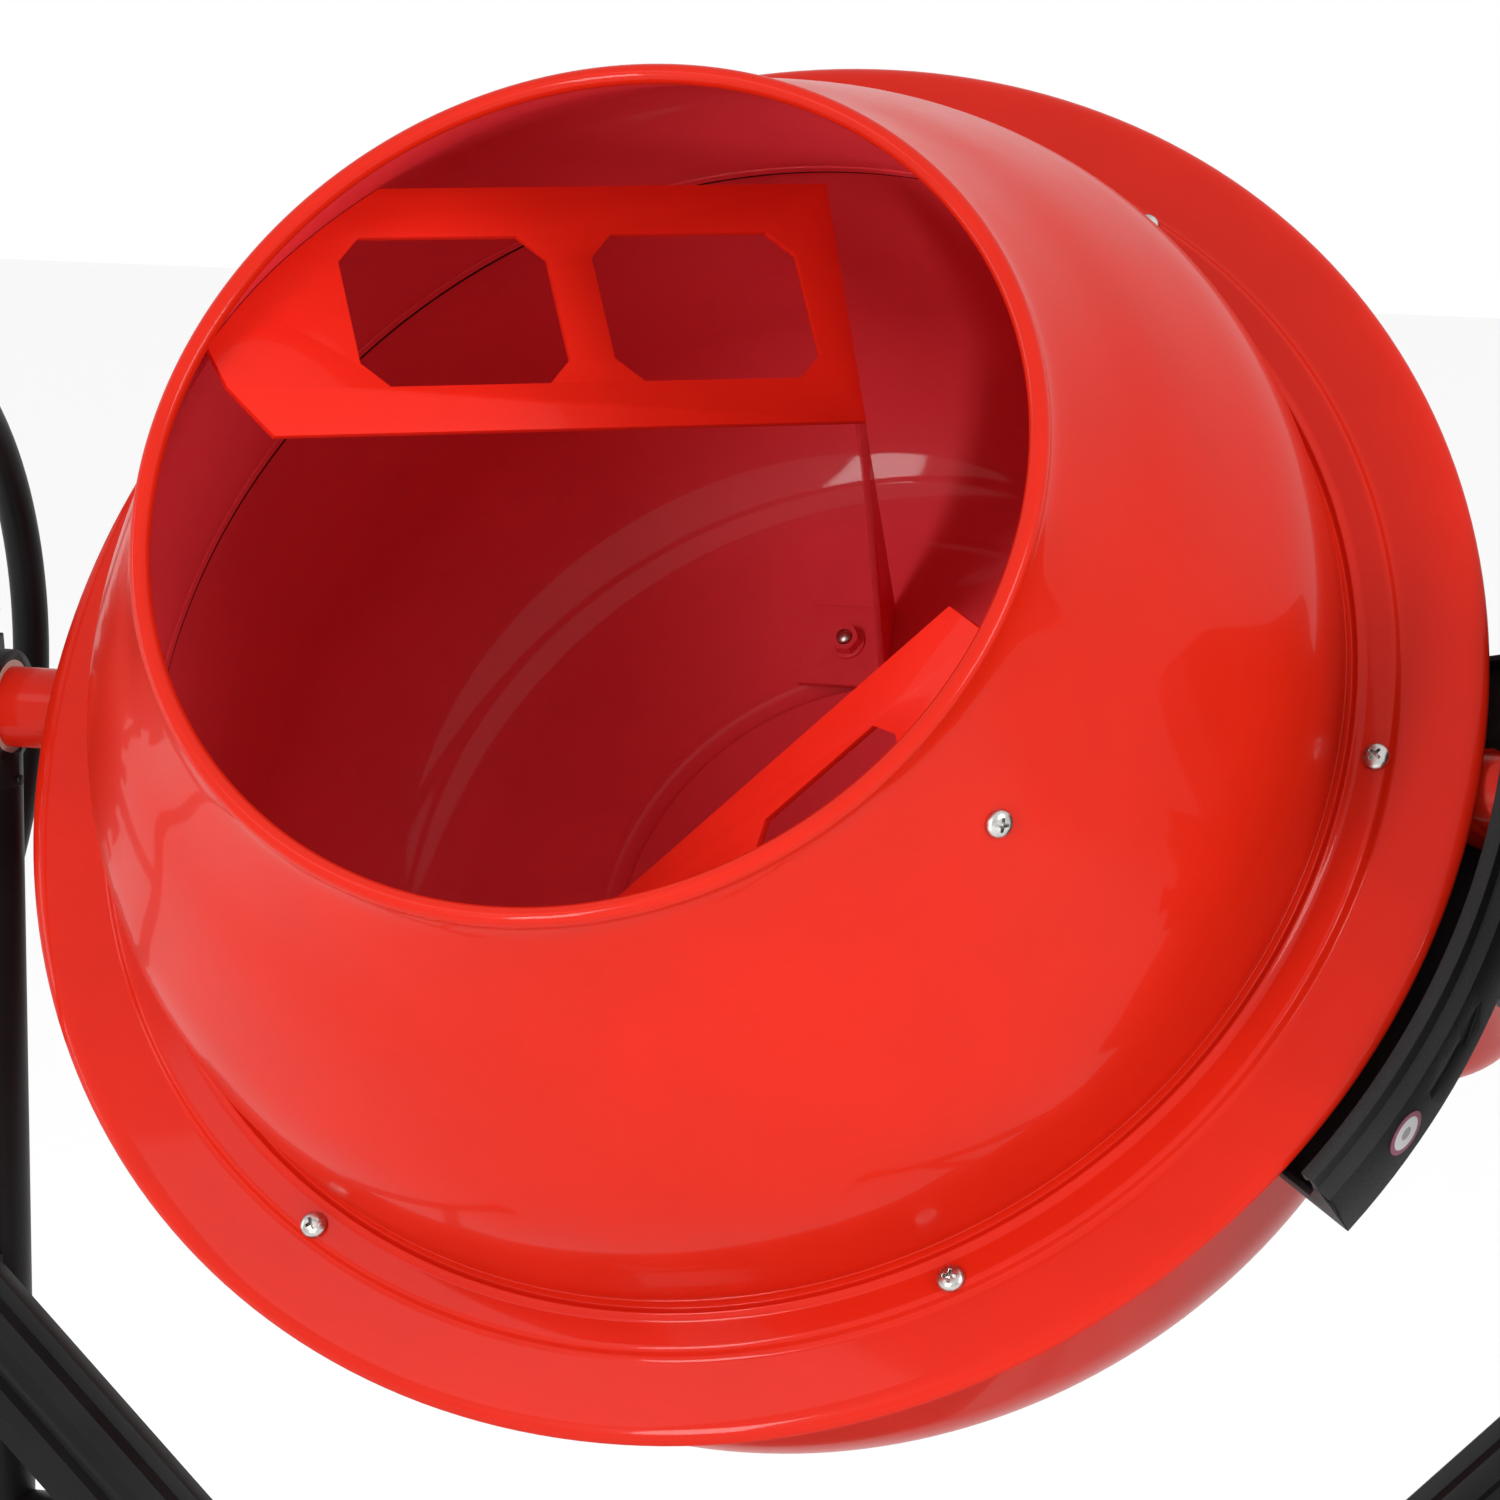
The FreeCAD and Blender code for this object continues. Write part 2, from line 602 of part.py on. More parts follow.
def make_spindle():
    seat = -YOKE_DROP + TUBE_R + 3
    foot = -YOKE_DROP - TUBE_R - 3
    top = PIVOT_DROP - BOWL_DEPTH - 10.0
    race = PIVOT_DROP - BOWL_DEPTH - 49.0
    body = fuse([cyl(SPINDLE_R, VEC(0, 0, foot - 18), UP, top - foot + 18),
                 cyl(16.5, VEC(0, 0, seat), UP, race - seat)])
    save("drum_spindle", tip(body))
    top_nut = hexagon(30.0, 7.0).cut(cyl(SPINDLE_R, VEC(0, 0, -1), UP, 12))
    top_nut.translate(VEC(0, 0, top - 7.0))
    low_nut = hexagon(36.0, 14.0).cut(cyl(SPINDLE_R, VEC(0, 0, -1), UP, 18))
    low_nut.translate(VEC(0, 0, foot - 14.0))
    save("spindle_nuts", [tip(top_nut), tip(low_nut)])


# ---- gear guard ----------------------------------------------------------
def make_guard():
    r = GUARD_R
    span = GUARD_TO - GUARD_FROM
    skin = [(r - 15, 2), (r - 8, 2), (r - 7, -5), (r, -6.5), (r, -45), (r - 41, -45), (r - 41, -42),
            (r - 3, -42), (r - 3, -9), (r - 10, -8), (r - 10.8, -1), (r - 12.6, -1),
            (r - 12.6, -4.5), (r - 15, -4.5)]
    guard = turned(skin, span, GUARD_FROM)
    wall = [(BOWL_R + 8, -45), (r, -45), (r, -9), (r - 12, -9), (r - 12, -14), (r - 20, -33),
            (BOWL_R + 8, -33)]
    guard = guard.fuse(turned(wall, 0.5, GUARD_FROM)).fuse(turned(wall, 0.5, GUARD_TO - 0.5))
    guard.translate(VEC(0, 0, PIVOT_DROP))
    slot = cyl(TUBE_R + 1.5, VEC(ARM_X - 60, 0, 0), ALONG_X, 140)
    slot = slot.fuse(block(ARM_X - 60, ARM_X + 80, -TUBE_R - 1.5, TUBE_R + 1.5, -60, 0))
    guard = guard.cut(slot)
    for piece in guard_arrow():
        guard = guard.cut(piece)
    for hole in guard_screw_places(3.0, 40):
        guard = guard.cut(hole)
    save("pinion_guard", tip(guard))
    label = cyl(11.0, VEC(r - 1, 0, 0), ALONG_X, 3).common(
        turned([(r, -60), (r + 0.4, -60), (r + 0.4, 60), (r, 60)], 20, -10))
    label.translate(VEC(0, 0, PIVOT_DROP - 26.0))
    label.rotate(ORIGIN, UP, -26.2)
    save("guard_label", tip(label))


def guard_arrow():
    # arrow sunk into the outer wall, pointing the way the drum turns
    r = GUARD_R
    outline = [(-24, -3.2), (4, -3.2), (4, -8), (24, 1), (4, 8), (4, 3.2), (-24, 3.2)]
    wire = Part.makePolygon([VEC(r - 6, y, z) for y, z in outline + outline[:1]])
    prism = Part.Face(wire).extrude(VEC(12, 0, 0))
    shell = turned([(r - 0.8, -60), (r + 4, -60), (r + 4, 60), (r - 0.8, 60)], 30, -15)
    arrow = prism.common(shell)
    arrow.translate(VEC(0, 0, PIVOT_DROP - 26.0))
    arrow.rotate(ORIGIN, UP, -19.3)
    return [arrow]


def guard_screw_places(radius, length):
    places = []
    for angle in (-10.5, 8.0):
        hole = cyl(radius, VEC(GUARD_R - 14, 0, PIVOT_DROP - 45 - 0.5 * length), UP, length)
        hole.rotate(ORIGIN, UP, angle)
        places.append(hole)
    return places


def make_guard_bracket():
    # folded plate welded to the arm under the guard's floor
    top = PIVOT_DROP - 45.0
    edge = GUARD_R - 2.5
    body = turned([(BOWL_R + 32, top), (edge, top), (edge, top - 22), (edge - 4, top - 22),
                   (edge - 4, top - 4), (BOWL_R + 32, top - 4)],
                  24.0, -13.5)
    body = body.cut(yoke_solid(TUBE_R))
    for hole in guard_screw_places(3.0, 60):
        body = body.cut(hole)
    save("guard_bracket", tip(body))
    screws = []
    for angle in (-10.5, 8.0):
        screw = hex_bolt(3.0, 12.0, 10.0, 4.0)
        screw.rotate(ORIGIN, ALONG_X, 180.0)
        screw.translate(VEC(GUARD_R - 14, 0, top - 4))
        screw.rotate(ORIGIN, UP, angle)
        screws.append(tip(screw))
    save("guard_screws", screws)


# ---- drive ---------------------------------------------------------------
def make_pinion():
    r1, r2 = TOOTH_IN + 1.0, GEAR_OUT - 2.5
    root = PINION_R - 3.6
    f1, f2 = r1 / MESH_R, r2 / MESH_R
    body = Part.makeCone(root * f1, root * f2, r2 - r1, VEC(r1, 0, 0), ALONG_X)
    half = 0.5 * TOOTH_SHARE * 2 * math.pi * MESH_R / RING_TEETH
    rows = []
    for radius in (r1, r2):
        f = radius / MESH_R
        tip_w = (half - ADDENDUM * 0.42) * f
        low = (root - 1.0) * f
        low_w = (half + (PINION_R - root + 1.0) * 0.20) * f
        high = (PINION_R + ADDENDUM) * f
        rows.append([VEC(radius, -low_w, low), VEC(radius, low_w, low),
                     VEC(radius, tip_w, high), VEC(radius, -tip_w, high)])
    tooth = wedge_solid(rows[0], rows[1])
    for i in range(PINION_TEETH):
        copy = tooth.copy()
        copy.rotate(ORIGIN, ALONG_X, i * 360.0 / PINION_TEETH)
        body = body.fuse(copy)
    body = body.cut(cyl(SHAFT_R, VEC(r1 - 10, 0, 0), ALONG_X, 60))
    save("pinion", tip(body))
    end = HOUSE_X + 50
    shaft = fuse([cyl(SHAFT_R, VEC(r1 - 4, 0, 0), ALONG_X, end - r1 + 4),
                  cyl(SHAFT_R + 3, VEC(r1 - 4.0, 0, 0), ALONG_X, 4.0)])
    save("pinion_shaft", tip(shaft))
    bushes = []
    for x0 in (ARM_X + 6.0, MAST_X + HEAD_HALF - 16.0):
        bushes.append(tip(tube(TUBE_R - TUBE_WALL, SHAFT_R + RUN_FIT, VEC(x0, 0, 0), ALONG_X, 18)))
    save("shaft_bushes", bushes)


def grooved_pulley(radius, bore, x0, width, web):
    pts = [(bore, 0), (radius, 0), (radius, width), (bore, width)]
    body = turned(pts)
    if web:
        for face in (0.0, width - 7.0):
            body = body.cut(turned([(26, face), (radius - 9, face), (radius - 9, face + 7),
                                    (26, face + 7)]))
        hole = cyl(13.0, VEC(0.5 * radius + 8, 0, -1), UP, width + 2)
        for piece in spread(hole, 6):
            body = body.cut(piece)
    for i in range(5):
        z = 4.0 + i * (width - 8.0) / 4.0
        body = body.cut(turned([(radius - 1.6, z), (radius + 0.1, z - 1.4), (radius + 0.1, z + 1.4)]))
    body.rotate(ORIGIN, ALONG_Y, 90.0)
    body.translate(VEC(x0, 0, 0))
    return body


def lifted(shape, dz=0.0):
    out = shape.copy()
    out.translate(VEC(0, 0, PIVOT_HEIGHT + dz))
    return out


def make_pulleys():
    x0 = HOUSE_X + 18
    large = grooved_pulley(LARGE_PULLEY_R, SHAFT_R, x0, 25, True)
    save("large_pulley", lifted(large))
    small = grooved_pulley(SMALL_PULLEY_R, 7.0, x0, 25, False)
    save("motor_pulley", lifted(small, -MOTOR_DROP))
    save("drive_belt", lifted(belt(x0 + 2.5, 20.0)))


def belt_outline(extra):
    # outside of a belt run round both pulleys, as a closed face in YZ
    r1, r2, d = LARGE_PULLEY_R + extra, SMALL_PULLEY_R + extra, MOTOR_DROP
    lean = math.asin((r1 - r2) / d)
    c, s = math.cos(lean), math.sin(lean)
    a = VEC(0, r1 * c, -r1 * s)
    b = VEC(0, r2 * c, -d - r2 * s)
    low = Part.Arc(b, VEC(0, 0, -d - r2), VEC(0, -b.y, b.z)).toShape()
    high = Part.Arc(VEC(0, -a.y, a.z), VEC(0, 0, r1), a).toShape()
    edges = [Part.makeLine(a, b), low, Part.makeLine(VEC(0, -b.y, b.z), VEC(0, -a.y, a.z)), high]
    return Part.Face(Part.Wire(edges))


def belt(x0, width):
    outer = belt_outline(LOOSE + BELT_T).extrude(VEC(width, 0, 0))
    inner = belt_outline(LOOSE).extrude(VEC(width, 0, 0))
    out = outer.cut(inner)
    out.translate(VEC(x0, 0, 0))
    return out


def make_motor():
    x0 = HOUSE_X + 62
    far = HOUSE_END - 12
    shaft = fuse([cyl(7.0, VEC(HOUSE_X + 16, 0, 0), ALONG_X, far + 1 - HOUSE_X - 16),
                  cyl(26.0, VEC(x0 + 20, 0, 0), ALONG_X, 40)])
    save("motor_rotor", lifted(shaft, -MOTOR_DROP))
    blades = [tube(12.0, 7.0, VEC(far - 11, 0, 0), ALONG_X, 9)]
    for i in range(9):
        blade = block(far - 11, far - 2, 10, 44, -1.2, 1.2)
        blade.rotate(ORIGIN, ALONG_X, i * 40.0)
        blades.append(blade)
    save("motor_fan", lifted(fuse(blades), -MOTOR_DROP))
    case = tube(56.0, 50.0, VEC(x0, 0, 0), ALONG_X, 72)
    case = case.fuse(tube(51.0, 27.0, VEC(x0 + 18, 0, 0), ALONG_X, 44))
    case = case.fuse(tube(56.0, 7.0 + RUN_FIT, VEC(x0, 0, 0), ALONG_X, 8))
    case = case.fuse(tube(56.0, 7.0 + RUN_FIT, VEC(x0 + 64, 0, 0), ALONG_X, 8))
    plate_body = block(x0 - 4, x0, -66, 66, -66, 66).cut(cyl(20, VEC(x0 - 10, 0, 0), ALONG_X, 20))
    parts = [case, plate_body]
    for i in range(12):
        fin = block(x0 + 8, x0 + 64, 55, 60, -1.5, 1.5)
        fin.rotate(ORIGIN, ALONG_X, i * 30.0)
        parts.append(fin)
    for y in (-58, 58):
        for z in (-58, 58):
            parts.append(cyl(6.0, VEC(HOUSE_X + 3, y, z), ALONG_X, x0 - 3 - HOUSE_X))
    save("motor_case", lifted(fuse(parts), -MOTOR_DROP))


# ---- stand ---------------------------------------------------------------
def leg_sweep(radius):
    # bent tube in the YZ plane: front foot, apex bend, rear end at the axle
    bend = 55.0
    front = VEC(0, -LEG_REACH, 12)
    rear = VEC(0, AXLE_Y + 7, WHEEL_R - 9)
    apex = VEC(0, 0, APEX_Z)
    a = front - apex
    b = rear - apex
    a.normalize()
    b.normalize()
    turn = math.pi - math.acos(a.dot(b))
    tangent = bend * math.tan(0.5 * turn)
    mid_dir = a + b
    mid_dir.normalize()
    mid = apex + mid_dir * (bend / math.cos(0.5 * turn) - bend)
    pa, pb = apex + a * tangent, apex + b * tangent
    path = Part.Wire([Part.makeLine(front, pa), Part.Arc(pa, mid, pb).toShape(),
                      Part.makeLine(pb, rear)])
    ring = Part.Wire(Part.makeCircle(radius, front, a * -1))
    return path.makePipeShell([ring], True, False)


def tie_bar(radius):
    return cyl(radius, VEC(0, -LEG_REACH, TIE_Z), ALONG_Y, LEG_REACH + AXLE_Y)


def side_frame(x):
    leg = leg_sweep(LEG_R)
    tie = tie_bar(TIE_R).cut(leg)
    middle = [s for s in tie.Solids if s.BoundBox.YMin < 0 < s.BoundBox.YMax]
    body = leg.cut(leg_sweep(LEG_R - 2.0)).fuse(middle[0].cut(tie_bar(TIE_R - 2.0)))
    body = body.cut(block(-50, 50, -600, 600, -60, 12.0))
    body = body.cut(cyl(AXLE_R, VEC(-60, AXLE_Y, WHEEL_R), ALONG_X, 120))
    body.translate(VEC(x, 0, 0))
    return body


def make_stand():
    for name, x in (("side_frame_left", -MAST_X), ("side_frame_right", MAST_X)):
        save(name, side_frame(x))
    make_masts()
    make_cross_tubes()
    make_struts()
    feet = []
    for x in (-MAST_X, MAST_X):
        y = -LEG_REACH
        pad = Part.makeCone(30, 25, 28, VEC(x, y, 0), UP)
        hole = leg_sweep(LEG_R)
        hole.translate(VEC(x, 0, 0))
        hole = hole.common(block(x - 60, x + 60, y - 60, y + 60, 12.0, 60))
        feet.append(pad.cut(hole))
    save("rubber_feet", feet)
    reach = MAST_X + LEG_R + 56
    axle = cyl(AXLE_R, VEC(-reach, AXLE_Y, WHEEL_R), ALONG_X, 2 * reach)
    save("wheel_axle", axle)


def make_masts():
    head_solid = cyl(HEAD_R, VEC(-HEAD_HALF, 0, PIVOT_HEIGHT), ALONG_X, 2 * HEAD_HALF)
    bush_r = TUBE_R + RUN_FIT
    bushes = []
    for name, x in (("left", -MAST_X), ("right", MAST_X)):
        ring = head_solid.fuse(cyl(MAST_R, VEC(0, 0, PIVOT_HEIGHT - SOCKET_DROP), UP, SOCKET_DROP))
        spigot = cyl(MAST_R - 2.5, VEC(0, 0, PIVOT_HEIGHT - SOCKET_DROP - 30), UP, 40)
        ring = ring.fuse(spigot)
        ring = ring.cut(cyl(bush_r + 3.0, VEC(-60, 0, PIVOT_HEIGHT), ALONG_X, 120))
        pin = cyl(2.5, VEC(-MAST_R - 1.2, 0, PIVOT_HEIGHT - SOCKET_DROP + 3), ALONG_X,
                  2 * MAST_R + 2.4)
        ring = ring.fuse(pin.cut(cyl(bush_r + 3.0, VEC(-60, 0, PIVOT_HEIGHT), ALONG_X, 120)))
        ring.translate(VEC(x, 0, 0))
        save("mast_head_" + name, ring)
        bush = tube(bush_r + 3.0, bush_r, VEC(x - HEAD_HALF, 0, PIVOT_HEIGHT), ALONG_X,
                    2 * HEAD_HALF)
        bushes.append(bush)
    save("tilt_bushes", bushes)
    leg = leg_sweep(LEG_R)
    post = tube(MAST_R, MAST_R - 2.5, VEC(0, 0, APEX_Z - 20), UP,
                PIVOT_HEIGHT - SOCKET_DROP - APEX_Z + 20)
    post = post.cut(leg)
    post = max(post.Solids, key=lambda s: s.Volume)
    for name, x in (("left", -MAST_X), ("right", MAST_X)):
        mast = post.copy()
        mast.translate(VEC(x, 0, 0))
        full = cyl(MAST_R, VEC(x, 0, APEX_Z), UP, 400)
        # boss that carries the strut's upper bolt
        z = PIVOT_HEIGHT - STRUT_MEET + MAST_X
        boss = block(x - 15, x + 15, STRUT_Y, -8, z - 20, z + 20).cut(full)
        mast = mast.fuse(boss)
        mast = mast.cut(cyl(3.0, VEC(x, STRUT_Y - 5, z), ALONG_Y, 20))
        if name == "left":
            pin_x = DISC_X - 3
            low = PIVOT_HEIGHT - 150
            arm = block(pin_x - 9, x - 10, -13, 13, low, low + 34).cut(full)
            arm = arm.cut(cyl(5.0 + RUN_FIT, VEC(pin_x, 0, low - 5), UP, 60))
            mast = mast.fuse(arm)
        else:
            for dz in (-60.0, -250.0):
                pad = block(x, HOUSE_X, -14, 14, PIVOT_HEIGHT + dz - 14, PIVOT_HEIGHT + dz + 14)
                mast = mast.fuse(pad.cut(full))
        save("mast_" + name, mast)


def make_cross_tubes():
    z = PIVOT_HEIGHT - CROSS_DROP
    upper = tube(LEG_R, LEG_R - 2, VEC(-MAST_X, 0, z), ALONG_X, 2 * MAST_X)
    for x in (-MAST_X, MAST_X):
        upper = upper.cut(cyl(MAST_R, VEC(x, 0, z - 60), UP, 120))
    upper = max(upper.Solids, key=lambda s: s.Volume)
    save("upper_cross_tube", upper)
    base = tube(LEG_R, LEG_R - 2, VEC(-MAST_X, BASE_Y, TIE_Z), ALONG_X, 2 * MAST_X)
    for x in (-MAST_X, MAST_X):
        tie = tie_bar(TIE_R)
        tie.translate(VEC(x, 0, 0))
        base = base.cut(tie)
    base = max(base.Solids, key=lambda s: s.Volume)
    top = PIVOT_HEIGHT - STRUT_MEET
    y0 = BASE_Y - LEG_R - 4.2
    gusset = Part.Face(Part.makePolygon([
        VEC(-92, y0, top + 78), VEC(92, y0, top + 78), VEC(60, y0, TIE_Z - 22),
        VEC(-60, y0, TIE_Z - 22), VEC(-92, y0, top + 78)])).extrude(VEC(0, 5, 0))
    for x in (-1, 1):
        for run in (48.0, 78.0):
            spacer = cyl(9.0, VEC(x * run, STRUT_Y, top + run), ALONG_Y, y0 - STRUT_Y)
            gusset = gusset.fuse(spacer)
            gusset = gusset.cut(cyl(3.0, VEC(x * run, STRUT_Y - 5, top + run), ALONG_Y, 40))
    base = base.fuse(gusset)
    save("base_cross_tube", base)


def strut_section():
    # pressed rib section as (across, forward) mid-line points
    w = 0.5 * STRUT_W
    return [(-w, -11), (-w, 0), (-21, 0), (-18, 5), (-9, 5), (-6.5, 0), (6.5, 0), (9, 5), (18, 5),
            (21, 0), (w, 0), (w, -11)]


def thickened(points, t):
    # closed outline of an open mid-line, offset to both sides with mitres
    left, right = [], []
    for i, (x, y) in enumerate(points):
        dirs = []
        for j in (i - 1, i):
            if 0 <= j < len(points) - 1:
                dx, dy = points[j + 1][0] - points[j][0], points[j + 1][1] - points[j][1]
                size = math.hypot(dx, dy)
                dirs.append((-dy / size, dx / size))
        nx = sum(d[0] for d in dirs) / len(dirs)
        ny = sum(d[1] for d in dirs) / len(dirs)
        k = 1.0 / (nx * nx + ny * ny)
        left.append((x + 0.5 * t * nx * k, y + 0.5 * t * ny * k))
        right.append((x - 0.5 * t * nx * k, y - 0.5 * t * ny * k))
    return left + right[::-1]


def make_struts():
    section = thickened(strut_section(), 2.0)
    x_out = MAST_X + 22.0
    length = (x_out - 22.0) * math.sqrt(2.0)
    bolts = []
    for name, side in (("left", -1), ("right", 1)):
        start = VEC(side * x_out, STRUT_Y, PIVOT_HEIGHT - STRUT_MEET + x_out)
        along = VEC(-side, 0, -1)
        along.normalize()
        forward = VEC(0, -1, 0)
        across = VEC(side, 0, -1)
        across.normalize()
        wire = Part.makePolygon([start + across * u + forward * (v + 1.0)
                                 for u, v in section + section[:1]])
        strut = Part.Face(wire).extrude(along * length)
        strut = strut.common(block(-x_out, x_out, -100, 0, 0, PIVOT_HEIGHT))
        for run in (MAST_X, 78.0, 48.0):
            place = VEC(side * run, STRUT_Y, PIVOT_HEIGHT - STRUT_MEET + run)
            strut = strut.cut(cyl(3.0, place + VEC(0, -10, 0), ALONG_Y, 30))
            bolt = hex_bolt(3.0, 12.0, 10.0, 4.0)
            bolts.append(aim(bolt, place + VEC(0, -2.0, 0), VEC(0, -1, 0)))
        save("strut_" + name, strut)
    save("strut_bolts", bolts)


def make_wheels():
    x0 = MAST_X + LEG_R + 4.0
    fit = AXLE_R + 0.08
    rim = turned([(fit, 0), (20, 0), (20, 17), (58, 17), (64, 4), (78, 4), (78, 41), (64, 41),
                  (58, 28), (20, 28), (20, 45), (fit, 45)])
    hole = cyl(11.0, VEC(39, 0, -5), UP, 60)
    for piece in spread(hole, 6):
        rim = rim.cut(piece)
    k = WHEEL_R / 100.0
    tyre = turned([(78, 3), (82, 1), (90 * k, 0), (97 * k, 6), (100 * k, 14), (100 * k, 31),
                   (97 * k, 39), (90 * k, 45), (82, 44), (78, 42)])
    for i in range(36):
        groove = block(96 * k, 104 * k, -1.6, 1.6, 6, 39)
        groove.rotate(ORIGIN, UP, i * 10.0)
        tyre = tyre.cut(groove)
    for shape, label in ((rim, "wheel_rim_"), (tyre, "wheel_tyre_")):
        shape.rotate(ORIGIN, ALONG_Y, 90.0)
        shape.translate(VEC(x0, AXLE_Y, WHEEL_R))
        save(label + "right", shape)
        save(label + "left", mirrored_x(shape))
    caps = []
    cap = tube(16.0, AXLE_R, VEC(x0 + 45 + 1.0, AXLE_Y, WHEEL_R), ALONG_X, 6)
    cap = cap.fuse(cyl(16.0, VEC(x0 + 52, AXLE_Y, WHEEL_R), ALONG_X, 3))
    caps.append(cap)
    caps.append(mirrored_x(cap))
    save("axle_caps", caps)


# ---- tilt lock and handwheel ---------------------------------------------
def make_tilt_lock():
    disc = tube(DISC_R, TUBE_R, VEC(DISC_X - 6, 0, 0), ALONG_X, 6)
    for i in range(24):
        notch = block(DISC_X - 7, DISC_X + 1, -6.0, 6.0, -DISC_R - 5, -DISC_R + 15)
        notch.rotate(ORIGIN, ALONG_X, i * 15.0)
        disc = disc.cut(notch)
    save("tilt_lock_disc", lifted(disc))
    x = DISC_X - 3
    pin = fuse([cyl(5.0, VEC(x, 0, -DISC_R - 85), UP, 82),
                Part.makeSphere(8.0, VEC(x, 0, -DISC_R - 90))])
    save("tilt_lock_pin", lifted(pin))


def make_handwheel():
    x = WHEEL_RIM_X
    rim = Part.makeTorus(HAND_R, 9.0, VEC(x, 0, 0), ALONG_X)
    hub = tube(30.0, TUBE_R, VEC(x - 10, 0, 0), ALONG_X, 24)
    hub = hub.fuse(cyl(30.0, VEC(x - 16, 0, 0), ALONG_X, 6))
    parts = [hub, rim]
    for i in range(4):
        spoke = cyl(6.5, VEC(x, 0, 27), UP, HAND_R - 27)
        spoke.rotate(ORIGIN, ALONG_X, 45.0 + i * 90.0)
        parts.append(spoke)
    wheel = parts[0]
    for piece in parts[1:]:
        wheel = wheel.fuse(piece)
    wheel = wheel.cut(cyl(5.0, VEC(x - 30, 0, 0), ALONG_X, 30))
    save("handwheel", lifted(wheel))
    bolt = aim(hex_bolt(5.0, 20.0, 16.0, 6.5), VEC(x - 16, 0, 0), VEC(-1, 0, 0))
    save("handwheel_bolt", lifted(bolt))


# ---- motor housing -------------------------------------------------------
def rounded_prism(half, low, high, radius, x0, x1):
    body = block(x0, x1, -half, half, low, high)
    edges = [e for e in body.Edges if e.BoundBox.XLength > 0.9 * (x1 - x0)]
    return body.makeFillet(radius, edges)


def make_housing():
    t = 3.0
    back = rounded_prism(HOUSE_HALF, HOUSE_BOTTOM, HOUSE_TOP, 45, HOUSE_X, HOUSE_SPLIT)
    back = back.cut(rounded_prism(HOUSE_HALF - t, HOUSE_BOTTOM + t, HOUSE_TOP - t, 42,
                                  HOUSE_X + t, HOUSE_SPLIT + 5))
    back = back.cut(cyl(SHAFT_R + 3.5, VEC(HOUSE_X - 5, 0, 0), ALONG_X, 20))
    cover = rounded_prism(HOUSE_HALF, HOUSE_BOTTOM, HOUSE_TOP, 45, HOUSE_SPLIT, HOUSE_END)
    cover = cover.cut(rounded_prism(HOUSE_HALF - t, HOUSE_BOTTOM + t, HOUSE_TOP - t, 42,
                                    HOUSE_SPLIT - 5, HOUSE_END - t))
    for i in range(9):
        z = -MOTOR_DROP - 48 + i * 12.0
        cover = cover.cut(block(HOUSE_END - 10, HOUSE_END + 5, -50, 50, z - 2.5, z + 2.5))
    for y, z in house_screw_places():
        boss = cyl(7.0, VEC(HOUSE_X + t, y, z), ALONG_X, HOUSE_SPLIT - HOUSE_X - t)
        back = back.fuse(boss).cut(cyl(2.5, VEC(HOUSE_X + 8, y, z), ALONG_X, 90))
        post = cyl(7.0, VEC(HOUSE_SPLIT, y, z), ALONG_X, HOUSE_END - HOUSE_SPLIT - t)
        cover = cover.fuse(post)
        cover = cover.cut(cyl(2.5, VEC(HOUSE_SPLIT - 5, y, z), ALONG_X, 300))
    inlet_hole = block(HOUSE_SPLIT + 40, HOUSE_SPLIT + 78, -30, 18, HOUSE_BOTTOM - 5,
                       HOUSE_BOTTOM + 10)
    cover = cover.cut(inlet_hole)
    save("housing_back", lifted(back))
    save("housing_cover", lifted(cover))
    screws = []
    for y, z in house_screw_places():
        screw = aim(pan_screw(2.5, 118.0, 5.5, 3.4), VEC(HOUSE_END, y, z), ALONG_X)
        screws.append(lifted(screw))
    save("housing_screws", screws)
    x0 = HOUSE_SPLIT + 40
    socket = block(x0, x0 + 38, -30, 18, HOUSE_BOTTOM - 14, HOUSE_BOTTOM + 3)
    socket = socket.cut(block(x0 + 4, x0 + 34, -26, 14, HOUSE_BOTTOM - 15, HOUSE_BOTTOM - 1))
    for y in (-18, -6, 6):
        socket = socket.fuse(block(x0 + 17, x0 + 21, y - 1, y + 1, HOUSE_BOTTOM - 11,
                                   HOUSE_BOTTOM))
    save("power_inlet", lifted(socket))


def house_screw_places():
    y = HOUSE_HALF - 12.0
    z0, z1 = HOUSE_BOTTOM + 30, HOUSE_TOP - 30
    return [(-y, z0), (y, z0), (-y, z1), (y, z1), (-y, -110.0), (y, -110.0)]


def make_switch():
    y1 = -HOUSE_HALF
    y0 = y1 - 42
    x0, x1 = HOUSE_X + 8, HOUSE_X + 54
    z0, z1 = -110.0, -10.0
    xc = 0.5 * (x0 + x1)
    box = block(x0, x1, y0, y1, z0, z1)
    upright = [e for e in box.Edges if e.BoundBox.YLength > 40]
    box = box.makeFillet(6.0, upright)
    box = box.cut(block(x0 + 3, x1 - 3, y0 + 3, y1 - 3, z0 + 3, z1 - 3))
    for name, z, r in (("start_button", -36.0, 10.0), ("stop_button", -82.0, 10.0)):
        box = box.fuse(cyl(r + 5, VEC(xc, y0 - 4, z), ALONG_Y, 6))
        box = box.cut(cyl(r + LOOSE, VEC(xc, y0 - 10, z), ALONG_Y, 20))
        if name == "stop_button":
            cap = fuse([cyl(r, VEC(xc, y0 - 12, z), ALONG_Y, 22),
                        cyl(14.0, VEC(xc, y0 - 17, z), ALONG_Y, 7)])
        else:
            cap = cyl(r, VEC(xc, y0 - 9, z), ALONG_Y, 19)
        save(name, lifted(cap))
    save("switch_box", lifted(box))


